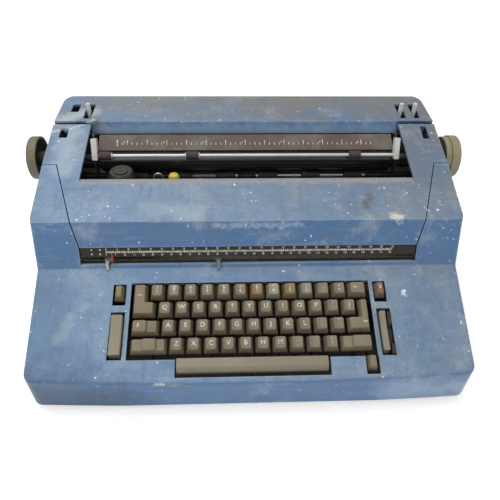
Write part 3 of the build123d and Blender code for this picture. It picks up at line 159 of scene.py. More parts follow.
# Rubbed grime: brown-grey smears where hands and paper have passed, and runs and wipes
# drawn out along one side or the other
smear = put(tree, "MapRange", {"Value": patch, "From Min": 0.50, "From Max": 0.70, "To Max": 0.42})
smear = put(tree, "Math", {0: smear, 1: thick}, "MULTIPLY")
layers = [(smear, "#66635d")]
for stretch, scale, low, most, code in (
    ((1.0, 0.22, 0.22), 95.0, 0.53, 0.42, "#4e5f70"),
    ((0.16, 1.0, 1.0), 150.0, 0.55, 0.34, "#a4b6c4"),
    ((0.20, 1.0, 1.0), 60.0, 0.54, 0.38, "#47617d"),
):
    drawn = put(tree, "Mapping", {"Vector": spot, "Scale": stretch})
    streak = put(tree, "TexNoise", {"Vector": drawn, "Scale": scale, "Detail": 6.0, "Roughness": 0.72})
    streak = put(tree, "MapRange", {"Value": streak, "From Min": low, "From Max": low + 0.2, "To Max": most})
    layers.append((streak, code))
pale = put(tree, "TexNoise", {"Vector": spot, "Scale": 24.0, "Detail": 8.0, "Roughness": 0.75})
pale = put(tree, "MapRange", {"Value": pale, "From Min": 0.53, "From Max": 0.68, "To Max": 0.50})
crumb = put(tree, "MapRange", {"Value": grain, "From Min": 0.58, "From Max": 0.68, "To Max": 0.6})
crumb = put(tree, "Math", {0: crumb, 1: lie}, "MULTIPLY")
layers += [(pale, "#a9b4ba"), (crumb, "#4f4a42")]

# Rounded edges are painted pale, partly as wear rubbed down to the primer in places and
# partly as a painted highlight along each edge
bend = put(tree, "Bevel", {"Radius": 0.0025}, samples=4)
mesh_normal = put(tree, "NewGeometry")
edge = put(tree, "VectorMath", {0: bend, 1: mesh_normal.outputs["Normal"]}, "DOT_PRODUCT")
edge = put(tree, "MapRange", {"Value": edge.outputs["Value"], "From Min": 0.985, "From Max": 0.90})
chip = put(tree, "MapRange", {"Value": patch, "From Min": 0.36, "From Max": 0.64, "To Max": 0.55})
edge = put(tree, "Math", {0: edge, 1: chip}, "MULTIPLY")
layers.append((edge, "#a3b4c2"))

# Spatter: drops of three sizes, each shaken out of round, thrown from above in clusters
wobble = put(tree, "TexNoise", {"Vector": spot, "Scale": 240.0, "Detail": 2.0})
shake = 0.006
wobble = put(tree, "VectorMath", {0: wobble.outputs["Color"], 1: (shake, shake, shake)}, "MULTIPLY")
shaken = put(tree, "VectorMath", {0: spot, 1: wobble}, "ADD")
crowd = put(tree, "MapRange", {
    "Value": cloud, "From Min": 0.35, "From Max": 0.65, "To Min": -0.22, "To Max": 0.22})
spatter = None
for cells, reach, few in ((34.0, 0.10, 0.80), (75.0, 0.16, 0.78), (160.0, 0.23, 0.72)):
    drop = put(tree, "TexVoronoi", {"Vector": shaken, "Scale": cells})
    pick = put(tree, "SeparateColor", {0: drop.outputs["Color"]})
    size = put(tree, "Math", {0: pick.outputs[1], 1: reach}, "MULTIPLY")
    inside = put(tree, "Math", {0: size, 1: drop}, "SUBTRACT")
    inside = put(tree, "MapRange", {"Value": inside, "From Max": 0.03})
    some = put(tree, "Math", {0: pick, 1: crowd}, "ADD")
    some = put(tree, "Math", {0: some, 1: few}, "GREATER_THAN")
    inside = put(tree, "Math", {0: inside, 1: some}, "MULTIPLY")
    spatter = put(tree, "Math", {0: spatter, 1: inside}, "MAXIMUM") if spatter else inside
landed = put(tree, "MapRange", {
    "Value": facing.outputs["Z"], "From Min": -0.1, "From Max": 0.5, "To Min": 0.20, "To Max": 0.88})
spatter = put(tree, "Math", {0: spatter, 1: landed}, "MULTIPLY")
layers.append((spatter, "#dde3e6"))

# Single marks: splashes, stains and torn-off tape, and some painted highlights, painted
# shade and broad darker or paler patches, each a ragged patch round a line from one point
# to another, in mm, with its radius, colour and most opacity
for start, end, radius, code, most in (
    ((171.7, -35.5, 156.7), (177, -38, 156), 6.5, "#d5d3c4", 0.95),
    ((147.2, -7.4, 163), (141, -20, 160), 7, "#5d5443", 0.60),
    ((-102.9, -193, 54.3), (-94.5, -191, 55), 3.2, "#dcd7c3", 0.9),
    ((-233.7, -82.3, 96.5), (-232, -78, 98), 1.8, "#eef2f4", 0.9),
    ((182.4, -98.6, 90.3), (182.4, -96, 91.3), 3.5, "#eef2f4", 0.9),
    ((-208.9, -141.7, 73.9), (-200, -120, 81), 9, "#aebcc6", 0.55),
    ((-254.7, 103.7, 188.2), (-227.4, 109.2, 189.5), 3.6, "#d9dde0", 0.95),
    ((-227.4, 109.2, 189.5), (-200, 126.2, 193.3), 3.6, "#d3d6d6", 0.95),
    ((-240, 128, 192.5), (-205, 150, 193.5), 15, "#b5b8b8", 0.75),
    ((-225, 100, 187), (-225, 40, 174), 20, "#aab8c4", 0.55),
    ((-196, 122, 192), (-188, 118, 182), 7, "#55513f", 0.85),
    # A grey band painted along the cover's rolled front lip: a painted highlight
    ((-200, 18.5, 168.8), (205, 18.5, 168.8), 6.5, "#98958c", 0.85),
    ((-120, -20, 160), (-60, -30, 158), 15, "#a3b1bb", 0.40),
    # A darker band along the right ear's inner edge: painted shade
    ((205, 90, 184), (225, 20, 169), 22, "#5f6f7e", 0.45),
    ((-200, 175, 193), (250, 175, 193), 30, "#7a7870", 0.45),
    # A pale line along the cover's front ridge: a painted highlight
    ((-40, -47, 154), (60, -47, 154), 5, "#b4c6d4", 0.55),
    # Broad patches: the skirt's front darker at the lower left and paler at the lower right, and the deck
    # darker at the left and at the right of the keyboard
    ((-235, -186, 22), (-150, -196, 22), 50, "#28435f", 0.78),
    ((165, -196, 28), (240, -190, 32), 30, "#9db2c8", 0.55),
    ((-228, -90, 90), (-205, -170, 62), 42, "#4c6c8c", 0.45),
    ((195, -150, 70), (205, -190, 55), 24, "#4f7390", 0.45),
    # A pale line painted along the hinge seam over its shade: painted light
    ((-185, 117, 184), (200, 117, 184), 12, "#8ea7c0", 0.55),
):
    start, end = Vector(start) / 1000, Vector(end) / 1000
    run = end - start
    from_start = put(tree, "VectorMath", {0: shaken, 1: start}, "SUBTRACT")
    share = put(tree, "VectorMath", {0: from_start, 1: run / run.length_squared}, "DOT_PRODUCT")
    share = put(tree, "Clamp", {"Value": share.outputs["Value"]})
    nearest = put(tree, "VectorMath", {0: run, "Scale": share}, "SCALE")
    away = put(tree, "VectorMath", {0: from_start, 1: nearest}, "DISTANCE")
    away = put(tree, "Math", {0: away.outputs["Value"], 1: 1000 / radius}, "MULTIPLY")
    torn = put(tree, "TexNoise", {"Vector": spot, "Scale": 900 / radius, "Detail": 6.0, "Roughness": 0.7})
    torn = put(tree, "Math", {0: torn, 1: 2.4}, "MULTIPLY")
    ragged = put(tree, "Math", {0: away, 1: torn}, "ADD")
    ragged = put(tree, "MapRange", {"Value": ragged, "From Min": 2.3, "From Max": 1.5, "To Max": most})
    layers.append((ragged, code))

# Holes, seams and inner corners are painted near black by ambient occlusion: painted shade
# where little light reaches
cavity_shade = put(tree, "AmbientOcclusion", {"Distance": 0.018}, samples=8)
cavity_shade = put(tree, "MapRange", {
    "Value": cavity_shade.outputs["AO"], "From Min": 0.62, "From Max": 0.25, "To Max": 0.93})
layers.append((cavity_shade, "#191b1c"))
relief = put(tree, "Math", {0: spatter, 1: grain}, "ADD")
coat_with(tree, coat, layers, (lie, 0.40, 0.80), (relief, 0.14, 0.0004), IOR=1.5)


def finish_nodes(finish, *names):
    """Give CAD nodes their finish on every slot."""
    for name in names:
        mesh = nodes[name].data
        if not mesh.materials:
            mesh.materials.append(finish)
        for i in range(len(mesh.materials)):
            mesh.materials[i] = finish


finish_nodes(paint, "main_housing", "top_cover", "rear_cover")


# Floor and light: a pale plain sweep under soft studio light, one wide lamp overhead and
# a weaker one from the front, so that the machine's shadow stays close under its skirt.
half_floor = 3
floor_mesh = bpy.data.meshes.new("floor")
corners = [(x * half_floor, y * half_floor, 0) for x, y in ((-1, -1), (1, -1), (1, 1), (-1, 1))]
floor_mesh.from_pydata(corners, [], [(0, 1, 2, 3)])
floor = new_object("floor", floor_mesh)
sweep, tree = new_finish("floor_white_sweep")
shader = tree.nodes["Principled BSDF"]
shader.inputs["Base Color"].default_value = linear("#f2f2f2")
shader.inputs["Roughness"].default_value = 0.9
path = put(tree, "LightPath")
seen = put(tree, "Math", {0: path.outputs["Is Camera Ray"], 1: path.outputs["Is Glossy Ray"]}, "MAXIMUM")
seen = put(tree, "Math", {0: seen, 1: path.outputs["Is Transmission Ray"]}, "MAXIMUM")
glow = put(tree, "Math", {0: seen, 1: 0.45}, "MULTIPLY")
lit = put(tree, "Emission", {"Color": (1, 1, 1, 1), "Strength": glow})
both = put(tree, "AddShader", {0: shader, 1: lit})
tree.links.new(both.outputs[0], tree.nodes["Material Output"].inputs["Surface"])
floor_mesh.materials.append(sweep)

world = bpy.data.worlds.new("studio")
bpy.context.scene.world = world
world.use_nodes = True
tree = world.node_tree
tree.nodes.clear()
path = put(tree, "LightPath")
seen = put(tree, "Math", {
    0: path.outputs["Is Camera Ray"], 1: path.outputs["Is Transmission Ray"]}, "MAXIMUM")
bright = put(tree, "MapRange", {"Value": seen, "To Min": 0.62, "To Max": 1.0})
sky = put(tree, "Background", {"Color": (1, 1, 1, 1), "Strength": bright})
put(tree, "OutputWorld", {"Surface": sky})
aim = Vector((0, 0, 0.1))
for name, stand, width, watts in (
    ("overhead", Vector((-0.5, 0.5, 1.9)), 1.8, 17.0),
    ("front", Vector((-0.6, -1.6, 1.3)), 1.4, 7.0),
):
    lamp = bpy.data.lights.new(name, "AREA")
    lamp.shape = "DISK"
    lamp.size = width
    lamp.energy = watts
    holder = new_object(name, lamp)
    holder.location = stand
    holder.rotation_euler = (aim - stand).to_track_quat("-Z", "Y").to_euler()


# Keys: double-shot ABS caps, dished and tapered, pressed on the stems of stamped steel
# levers. The caps have yellowed to taupe and their corners are rubbed smooth; their lowest
# part and their steep sides are painted darker as painted shade. The levers' zinc plate
# has gone cloudy.
def by_slope(tree, place, low, high, most):
    """A mask that grows from 0 to most as the upward part of a face's normal goes from low to high."""
    facing = put(tree, "SeparateXYZ", {0: place.outputs["Normal"]})
    return put(tree, "MapRange", {
        "Value": facing.outputs["Z"], "From Min": low, "From Max": high, "To Max": most})


def mottled(name, scale, dark, light, detail=5.0, grit=0.5):
    """A finish whose colour drifts in clouds between two tones, with the nodes to build on."""
    finish, tree = new_finish(name)
    place = put(tree, "TexCoord")
    clouds = put(tree, "TexNoise", {
        "Vector": place.outputs["Object"], "Scale": scale, "Detail": detail, "Roughness": grit})
    tone = put(tree, "Mix", {"Factor": clouds, 6: dark, 7: light}, data_type="RGBA")
    return finish, tree, place, clouds, tone


keys_plastic, tree, place, clouds, tone = mottled("keycap_abs_taupe", 60.0, "#918873", "#b4ab95", grit=0.6)
tint = put(tree, "Attribute", attribute_name="cap_tint")
tone = put(tree, "Mix", {
    "Factor": 1.0, 6: tone.outputs[2], 7: tint.outputs["Color"]}, data_type="RGBA", blend_type="MULTIPLY")
tall = put(tree, "Attribute", attribute_name="cap_height")
# Painted shade: the lowest 3 mm of each cap and its steep sides are painted darker, mottled by the clouds
low = put(tree, "MapRange", {
    "Value": tall.outputs["Fac"], "From Min": 3.0, "From Max": 0.0, "To Max": 0.60})
side_shade = by_slope(tree, place, 0.40, 0.10, 0.15)
low = put(tree, "Math", {0: low, 1: side_shade}, "MAXIMUM")
blot = put(tree, "MapRange", {
    "Value": clouds, "From Min": 0.35, "From Max": 0.65, "To Min": 0.6, "To Max": 1.0})
low = put(tree, "Math", {0: low, 1: blot}, "MULTIPLY")
fine = put(tree, "TexNoise", {"Vector": place.outputs["Object"], "Scale": 900.0, "Detail": 2.0})
fleck = put(tree, "MapRange", {"Value": fine, "From Min": 0.68, "From Max": 0.76, "To Max": 0.6})
coat_with(tree, tone, [(low, "#4b463c"), (fleck, "#57503f")],
          (clouds, 0.34, 0.62), (fine, 0.08, 0.0002), IOR=1.54)

stamped_steel, tree, place, clouds, tone = mottled("stamped_steel_zinc", 70.0, "#4c4842", "#85827b")
coat_with(tree, tone, [], (clouds, 0.65, 0.38), (700.0, 0.1, 0.0002), Metallic=0.85)

# Rows lie 19.4 mm apart and step down 7.9 mm from the number row's caps, whose tops are
# first_y, first_z; a cap stands 10 mm over its foot
first_y, first_z, row_run, row_rise = -98.7, 97.2, 19.4, 7.9
row_length = math.hypot(row_run, row_rise)
row_up = Vector((0, row_run, row_rise)) / row_length
row_out = Vector((0, -row_rise, row_run)) / row_length
key_pitch = 19.05
cap_tall, cap_reach = 10.0, 9.4
rounding = 0.0009


def cap_foot(row):
    """Where the foot of a row's caps lies, on the middle line of the machine, in mm."""
    top = Vector((0, first_y - row * row_run, first_z - row * row_rise))
    return top - row_out * cap_tall


def add_piece(name, mesh, finish, body, slot):
    """A finished piece at the origin that rides on a body."""
    piece = new_object(name, mesh)
    mesh.materials.clear()
    mesh.materials.append(finish)
    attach(piece, body)
    return piece


def evaluated(holder):
    """A plain mesh of an object as its modifiers leave it; the object itself goes."""
    bpy.context.view_layer.update()
    made = bpy.data.meshes.new_from_object(holder.evaluated_get(bpy.context.evaluated_depsgraph_get()))
    holder.modifiers.clear()
    bpy.data.objects.remove(holder)
    return made


def islands(shell):
    """The connected groups of vertices of a mesh."""
    seen = set()
    for start in shell.verts:
        if start in seen:
            continue
        island, stack = [], [start]
        seen.add(start)
        while stack:
            vert = stack.pop()
            island.append(vert)
            for link in vert.link_edges:
                other = link.other_vert(vert)
                if other not in seen:
                    seen.add(other)
                    stack.append(other)
        yield island


def rounded_cap(mesh, tints, colour):
    """Round the edges of caps, and paint their tint and height over the foot as attributes."""
    holder = new_object("caps", mesh)
    bevel = holder.modifiers.new("rounded", "BEVEL")
    bevel.width = rounding
    bevel.segments = 3
    bevel.limit_method = "ANGLE"
    bevel.angle_limit = math.radians(28)
    made = evaluated(holder)
    for face in made.polygons:
        face.use_smooth = True
    made.set_sharp_from_angle(angle=math.radians(38))
    made.attributes.new("cap_tint", "FLOAT_COLOR", "POINT")
    made.attributes.new("cap_height", "FLOAT", "POINT")
    colours, heights = made.attributes["cap_tint"], made.attributes["cap_height"]
    foot = cap_foot(0) / 1000
    for i, vert in enumerate(made.vertices):
        code = colour
        for x, odd in tints.items():
            if abs(vert.co.x * 1000 - x) < cap_reach:
                code = odd
        colours.data[i].color = linear(code)
        heights.data[i].value = (vert.co - foot).dot(row_out) * 1000
    return made


def split_key(node, body, colour, tints=None):
    """Caps with rounded edges and their levers, both from one CAD node of keys."""
    shell = bmesh.new()
    shell.from_mesh(nodes[node].data)
    bmesh.ops.remove_doubles(shell, verts=shell.verts, dist=2e-6)
    bmesh.ops.dissolve_limit(shell, angle_limit=math.radians(0.8), verts=shell.verts, edges=shell.edges)
    foot = cap_foot(0) / 1000
    cap_verts, lever_verts = set(), set()
    shell.verts.index_update()
    for island in islands(shell):
        height = max((v.co - foot).dot(row_out) for v in island)
        (cap_verts if height > 0.001 else lever_verts).update(v.index for v in island)
    for label, gone, finish, slot in (
        ("caps", lever_verts, keys_plastic, "key_plastic"),
        ("levers", cap_verts, stamped_steel, "frame_steel"),
    ):
        keep = shell.copy()
        keep.verts.ensure_lookup_table()
        bmesh.ops.delete(keep, geom=[v for v in keep.verts if v.index in gone], context="VERTS")
        mesh = bpy.data.meshes.new(f"{body}_{label}")
        keep.to_mesh(mesh)
        keep.free()
        if label == "caps":
            mesh = rounded_cap(mesh, tints or {}, colour)
        add_piece(f"{body}_{label}", mesh, finish, body, slot)
    shell.free()
    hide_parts(node)


# The first key of each row stands this many pitches from the middle. Four caps of the
# number row come from other batches and have aged to other tints
row_first = (-5.625, -5.125, -4.875, -4.375)
odd_caps = {(row_first[0] + place) * key_pitch: code
            for place, code in ((6, "#cfb796"), (8, "#c9b68a"), (7, "#e2e8e2"), (9, "#ccd1c7"))}
split_key("number_row_keys", "number_row", "#c4bdb3", odd_caps)
for node, body, colour in (
    ("top_row_keys", "top_row", "#bfbbb1"), ("home_row_keys", "home_row", "#bdbab1"),
    ("bottom_row_keys", "bottom_row", "#bfbcb4"), ("tab_key", "tab", "#c3b7a6"),
    ("return_key", "carriage_return", "#c6c2b7"), ("backspace_key", "backspace", "#c5bfb3"),
    ("lock_key", "lock", "#c1b9ab"), ("left_shift_key", "left_shift", "#c3bdb0"),
    ("right_shift_key", "right_shift", "#c8c4bc"), ("correction_key", "correction", "#c4bdaf"),
    ("index_key", "index", "#c4a694"), ("margin_release_key", "margin_release", "#c4b998"),
    ("space_bar", "space", "#d6d6d2"),
):
    split_key(node, body, colour)


# Legends: the second shot of ivory plastic, flush in each dish and worn dull in spots.
# Only plain letters and figures are set, with plain arrows on the keys that move the carrier.
def worn_fill(name, scale, low, high, light, dark, roughness):
    """A pale fill that fingers or paper have rubbed dull in spots."""
    finish, tree = new_finish(name)
    spot = put(tree, "TexCoord").outputs["Object"]
    rub = put(tree, "TexNoise", {"Vector": spot, "Scale": scale, "Detail": 4.0})
    rub = put(tree, "MapRange", {"Value": rub, "From Min": low, "From Max": high})
    tone = put(tree, "Mix", {"Factor": rub, 6: light, 7: dark}, data_type="RGBA")
    coat_with(tree, tone, [], None, None, Roughness=roughness)
    return finish


legend_ivory = worn_fill("legend_abs_ivory", 500.0, 0.42, 0.66, "#e3dfd0", "#a69f8c", 0.5)
skin = 0.04
letter_size, figure_size, sign_size = 7.6, 5.4, 5.0
letter_v, figure_v, sign_v = 1.6, (4.1, -0.7), (4.0, -0.6)
dish_radius, dish_depth = 16.0, 0.9


def letters(text, size):
    """The faces of a plain text of that height in mm, centred: points and polygons."""
    curve = bpy.data.curves.new("legend", "FONT")
    curve.body = text
    curve.size = 1.0
    curve.offset = 0.0 if text == "M" else 0.012  # a fattened M closes its notch
    curve.resolution_u = 3
    curve.align_x = "CENTER"
    holder = bpy.data.objects.new("legend", curve)
    mesh = bpy.data.meshes.new_from_object(holder)
    points = [v.co.copy() for v in mesh.vertices]
    polygons = [list(p.vertices) for p in mesh.polygons]
    bpy.data.objects.remove(holder)
    bpy.data.meshes.remove(mesh)
    bpy.data.curves.remove(curve)
    middle = 0.36
    return [(p.x * size, (p.y - middle) * size) for p in points], polygons


def legend_piece(name, body, marks, lay, finish=legend_ivory, slot="key_plastic", step=1.3):
    """One mesh of flat marks, each (points, polygons, x, v), laid on a surface by lay(u, v, x).

    A mark is cut at every step along u, so that it can follow a curved surface."""
    sheet = bmesh.new()
    for points, polygons, x, v in marks:
        part = bmesh.new()
        made = [part.verts.new((u, w, 0)) for u, w in points]
        for polygon in polygons:
            try:
                part.faces.new([made[i] for i in polygon])
            except ValueError:
                pass
        high = max(u for u, w in points)
        cut = min(u for u, w in points) + step if step else high
        while cut < high:
            bmesh.ops.bisect_plane(part, geom=part.verts[:] + part.edges[:] + part.faces[:],
                                   plane_co=(cut, 0, 0), plane_no=(1, 0, 0))
            cut += step
        for vert in part.verts:
            vert.co = lay(vert.co.x, vert.co.y + v, x) / 1000
        mesh = bpy.data.meshes.new("part")
        part.to_mesh(mesh)
        part.free()
        sheet.from_mesh(mesh)
        bpy.data.meshes.remove(mesh)
    bmesh.ops.remove_doubles(sheet, verts=sheet.verts, dist=1e-7)
    mesh = bpy.data.meshes.new(name)
    sheet.to_mesh(mesh)
    sheet.free()
    add_piece(name, mesh, finish, body, slot)


def on_cap(row, dished):
    """Lay a mark on the caps of that row, in their dishes or on flat tops."""
    foot = cap_foot(row)

    def lay(u, v, x):
        dip = dish_radius - dish_depth - math.sqrt(dish_radius ** 2 - u * u) if dished else 0
        return foot + Vector((x + u, 0, 0)) + row_up * v + row_out * (cap_tall + dip + skin)

    return lay


def pairs(signs, row, first, size, heights):
    """Two signs a cap, one above the other, from the cap at place first on."""
    made = []
    for i, both in enumerate(signs):
        x = (row_first[row] + first + i) * key_pitch
        made += [(*letters(text, size), x, v) for text, v in zip(both, heights)]
    return made


figures = (("!", "1"), ("@", "2"), ("#", "3"), ("$", "4"), ("%", "5"), ("=", "6"), ("&", "7"), ("*", "8"),
           ("(", "9"), (")", "0"), ("_", "-"), ("+", "="))
marks = pairs(figures, 0, 0, figure_size, figure_v)
legend_piece("number_row_legends", "number_row", marks, on_cap(0, True))
for row, body, text, extra in (
    (1, "top_row", "QWERTYUIOP", (("/", "-"), ("]", "["))),
    (2, "home_row", "ASDFGHJKL", ((":", ";"), ('"', "'"))),
    (3, "bottom_row", "ZXCVBNM", ((",", ","), (".", "."), ("?", "/"))),
):
    marks = [(*letters(letter, letter_size), (row_first[row] + i) * key_pitch, letter_v)
             for i, letter in enumerate(text)]
    marks += pairs(extra, row, len(text), sign_size, sign_v)
    legend_piece(f"{body}_legends", body, marks, on_cap(row, True))


def arrow(length, turn):
    """A plain arrow sign in mm, turned by whole quarter turns."""
    half, head, stem = length / 2, 1.7, 0.5
    shape = [(-half, -stem), (half - head, -stem), (half - head, -head), (half, 0), (half - head, head),
             (half - head, stem), (-half, stem)]
    c, s = math.cos(turn * math.pi / 2), math.sin(turn * math.pi / 2)
    return [(x * c - y * s, x * s + y * c) for x, y in shape], [[0, 1, 2, 3, 4, 5, 6]]


for name, body, row, x, v, sign in (
    ("tab_sign", "tab", 0, -6.62 * key_pitch, -5.0, arrow(5.0, 0)),
    ("return_sign", "carriage_return", 1, 6.72 * key_pitch, -19.0, arrow(5.4, 2)),
    ("backspace_sign", "backspace", 0, 6.37 * key_pitch, 1.4, arrow(5.0, 2)),
    ("lock_sign", "lock", 2, -6.62 * key_pitch, 1.6, arrow(4.4, 3)),
    ("index_sign", "index", 0, 150.5, 1.6, arrow(4.4, 3)),
):
    legend_piece(name, body, [(*sign, x, v)], on_cap(row, False), step=None)


# Rockers: the tab rocker at the left and the power rocker at the right are moulded in the
# same ABS as the keys, one long piece each, and turn on pins of the keyboard frame. Their
# sides are painted darker than their crowns, as painted shade. The power rocker's guide is
# black ABS, dull with dust.
rocker_abs, tree, place, clouds, tone = mottled("rocker_abs_taupe", 70.0, "#776e5d", "#989079", grit=0.62)
side_shade = by_slope(tree, place, 0.75, 0.1, 0.7)
coat_with(tree, tone, [(side_shade, "#453f34")], (clouds, 0.36, 0.62), (800.0, 0.08, 0.0002), IOR=1.54)
finish_nodes(rocker_abs, "tab_rocker", "power_rocker")

guide_abs, tree, place, clouds, tone = mottled("guide_abs_black", 150.0, "#121110", "#34312b", grit=0.65)
coat_with(tree, tone, [], (clouds, 0.40, 0.68), None, IOR=1.54)
finish_nodes(guide_abs, "switch_guide")


# Keyboard frame: brackets and lever comb pressed from zinc-plated sheet, which has gone
# from bright to a cloudy grey-brown. It shares the finish of the key levers, and so do the
# tie bars, the motor mount and the deflector under the platen.
finish_nodes(stamped_steel, "keyboard_frame", "tie_bars", "motor_mount", "paper_deflector")


# Rods and shafts: cold-drawn steel, ground to size along X and lightly oiled. Fine lines
# run round each rod, so its highlight breaks into threads, and old oil has left it tan.
# The lines are drawn 1 mm apart, coarser than a grinding wheel leaves them.
ground, tree, place, clouds, tone = mottled("ground_steel_oiled", 45.0, "#a29c90", "#d6d3cb", grit=0.65)
drawn = put(tree, "Mapping", {"Vector": place.outputs["Object"], "Scale": (1.0, 0.04, 0.04)})
rings = put(tree, "TexNoise", {"Vector": drawn, "Scale": 900.0, "Detail": 3.0})
rust = put(tree, "MapRange", {"Value": clouds, "From Min": 0.62, "From Max": 0.75, "To Max": 0.5})
coat_with(tree, tone, [(rust, "#6f5a44")], (rings, 0.20, 0.46), (rings, 0.06, 0.0001), Metallic=0.92)
finish_nodes(ground, "fulcrum_rod", "carrier_rails", "platen_shaft", "margin_rack", "operational_shaft",
             "motor_shaft")


# Bail rod: satin chrome plate on steel, which catches the overhead light along its whole
# length and so reads almost white against the platen.
bail_plate, tree = new_finish("bail_rod_satin_chrome")
spot = put(tree, "TexCoord").outputs["Object"]
along = put(tree, "Mapping", {"Vector": spot, "Scale": (0.15, 1.0, 1.0)})
haze = put(tree, "TexNoise", {"Vector": along, "Scale": 160.0, "Detail": 4.0})
tone = put(tree, "Mix", {"Factor": haze, 6: "#b9b7b2", 7: "#e9e8e4"}, data_type="RGBA")
coat_with(tree, tone, [], (haze, 0.34, 0.52), None, Metallic=0.55)
finish_nodes(bail_plate, "bail_rod")


# Platen: a hard rubber sleeve ground true on a steel core. It is black with a soft sheen,
# glazed by ribbon ink where the type strikes, and dust lies along its top.
platen_rubber, tree, place, clouds, tone = mottled(
    "platen_rubber_ground", 55.0, "#0d0d0f", "#1d1d20", 6.0, 0.65)
turned = put(tree, "Mapping", {"Vector": place.outputs["Object"], "Scale": (1.0, 0.05, 0.05)})
rings = put(tree, "TexNoise", {"Vector": turned, "Scale": 700.0, "Detail": 2.0})
settle = by_slope(tree, place, 0.55, 1.0, 0.5)
settle = put(tree, "Math", {0: settle, 1: clouds}, "MULTIPLY")
coat_with(tree, tone, [(settle, "#77746d")], (clouds, 0.16, 0.34), (rings, 0.05, 0.0001), IOR=1.7)
finish_nodes(platen_rubber, "platen")


# Platen knobs: cupped wheels moulded in olive thermoset plastic and pinned to the shaft,
# the right one with its detent ring. Inward of the rims the knobs are painted darker, and
# the left knob is the darker.
knob_olive, tree, place, clouds, tone = mottled(
    "knob_thermoset_olive", 60.0, "#716b4d", "#a39c7c", grit=0.62)
platen_axis = (0, 0.088, 0.156)
cup_rim, cup_floor = 0.0262, 0.0235
axis = put(tree, "VectorMath", {0: place.outputs["Object"], 1: platen_axis}, "SUBTRACT")
flat = put(tree, "VectorMath", {0: axis, 1: (0, 1, 1)}, "MULTIPLY")
out = put(tree, "VectorMath", {0: flat}, "LENGTH")
cup = put(tree, "MapRange", {
    "Value": out.outputs["Value"], "From Min": cup_rim, "From Max": cup_floor, "To Max": 0.82})
left = put(tree, "SeparateXYZ", {0: place.outputs["Object"]})
left = put(tree, "MapRange", {"Value": left.outputs["X"], "From Min": 0.1, "From Max": -0.1, "To Max": 0.5})
coat_with(tree, tone, [(cup, "#2e2b22"), (left, "#332f21")],
          (clouds, 0.38, 0.62), (650.0, 0.10, 0.0002), IOR=1.55)
finish_nodes(knob_olive, "left_platen_knob", "right_platen_knob")


# Feed rollers: soft rubber rolls bonded at even spaces on steel shafts. The bare shaft
# between two rolls is painted bright steel only in the listed stretches, as painted
# highlights that make a row of bright dashes under the platen; elsewhere it is painted as
# dark as the rolls.
roll_pitch, roll_length = 57.3, 26.0
roll, tree = new_finish("feed_roll_rubber_on_steel")
spot = put(tree, "TexCoord").outputs["Object"]
film = put(tree, "TexNoise", {"Vector": spot, "Scale": 90.0, "Detail": 5.0})
along = put(tree, "SeparateXYZ", {0: spot})
step = put(tree, "Math", {0: along.outputs["X"], 1: roll_pitch / 1000}, "DIVIDE")
step = put(tree, "Math", {0: step}, "FRACT")
half = put(tree, "Math", {0: step, 1: 0.5}, "SUBTRACT")
half = put(tree, "Math", {0: half}, "ABSOLUTE")
bare = put(tree, "Math", {0: half, 1: 0.5 * roll_length / roll_pitch}, "GREATER_THAN")
# Painted highlights: the stretches of bare shaft painted bright, each a middle, reach and most brightness,
# in mm
painted_shine = None
for middle, reach, most in (
    (roll_pitch, 20, 1.0), (2 * roll_pitch, 20, 1.0), (-roll_pitch, 20, 0.35), (-14, 2, 0.8), (14, 2, 0.8),
    (158, 2, 0.8),
):
    far = put(tree, "Math", {0: along.outputs["X"], 1: middle / 1000}, "SUBTRACT")
    far = put(tree, "Math", {0: far}, "ABSOLUTE")
    near = put(tree, "Math", {0: far, 1: reach / 1000}, "LESS_THAN")
    near = put(tree, "Math", {0: near, 1: most}, "MULTIPLY")
    painted_shine = put(tree, "Math", {0: painted_shine, 1: near}, "MAXIMUM") if painted_shine else near
bare = put(tree, "Math", {0: bare, 1: painted_shine}, "MULTIPLY")
tone = put(tree, "Mix", {"Factor": bare, 6: "#100f0f", 7: "#c9c5bd"}, data_type="RGBA")
grime = put(tree, "MapRange", {"Value": film, "From Min": 0.5, "From Max": 0.7, "To Max": 0.5})
coat_with(tree, tone, [(grime, "#4a443b")], (bare, 0.6, 0.32), None)
tree.links.new(bare.outputs[0], tree.nodes["Principled BSDF"].inputs["Metallic"])
finish_nodes(roll, "front_feed_rollers", "rear_feed_rollers")


# Bail arms, handles and rollers: the arms are pressed steel, blacked; the handles are
# ivory ABS pushed over their ends, and the three rear levers are moulded in it too; the
# rollers are brown-black rubber tyres, dull and a little pitted.
blacked, tree, place, clouds, tone = mottled("pressed_steel_blacked", 80.0, "#1a1917", "#3b3833")
coat_with(tree, tone, [], (clouds, 0.38, 0.66), (900.0, 0.1, 0.0002), Metallic=0.5)
finish_nodes(blacked, "bail_arms")

tyre, tree, place, clouds, tone = mottled("bail_tyre_rubber_brown", 140.0, "#2a211e", "#4d403a")
coat_with(tree, tone, [], None, (clouds, 0.15, 0.0003), Roughness=0.68)
finish_nodes(tyre, "bail_rollers")

ivory, tree, place, clouds, tone = mottled("lever_abs_ivory", 110.0, "#bcbfb8", "#e3e4df", grit=0.65)
stain = put(tree, "MapRange", {"Value": clouds, "From Min": 0.60, "From Max": 0.76, "To Max": 0.6})
# Painted shade: hollows and the parts of the levers down in their slots are painted near black by ambient
# occlusion
cavity_shade = put(tree, "AmbientOcclusion", {"Distance": 0.012}, samples=8)
cavity_shade = put(tree, "MapRange", {
    "Value": cavity_shade.outputs["AO"], "From Min": 0.55, "From Max": 0.2, "To Max": 0.9})
coat_with(tree, tone, [(stain, "#8f8d80"), (cavity_shade, "#23221f")],
          (clouds, 0.34, 0.55), (700.0, 0.06, 0.0002), IOR=1.54)
finish_nodes(ivory, "bail_handles", "copy_control_lever", "line_space_lever", "paper_release_lever")

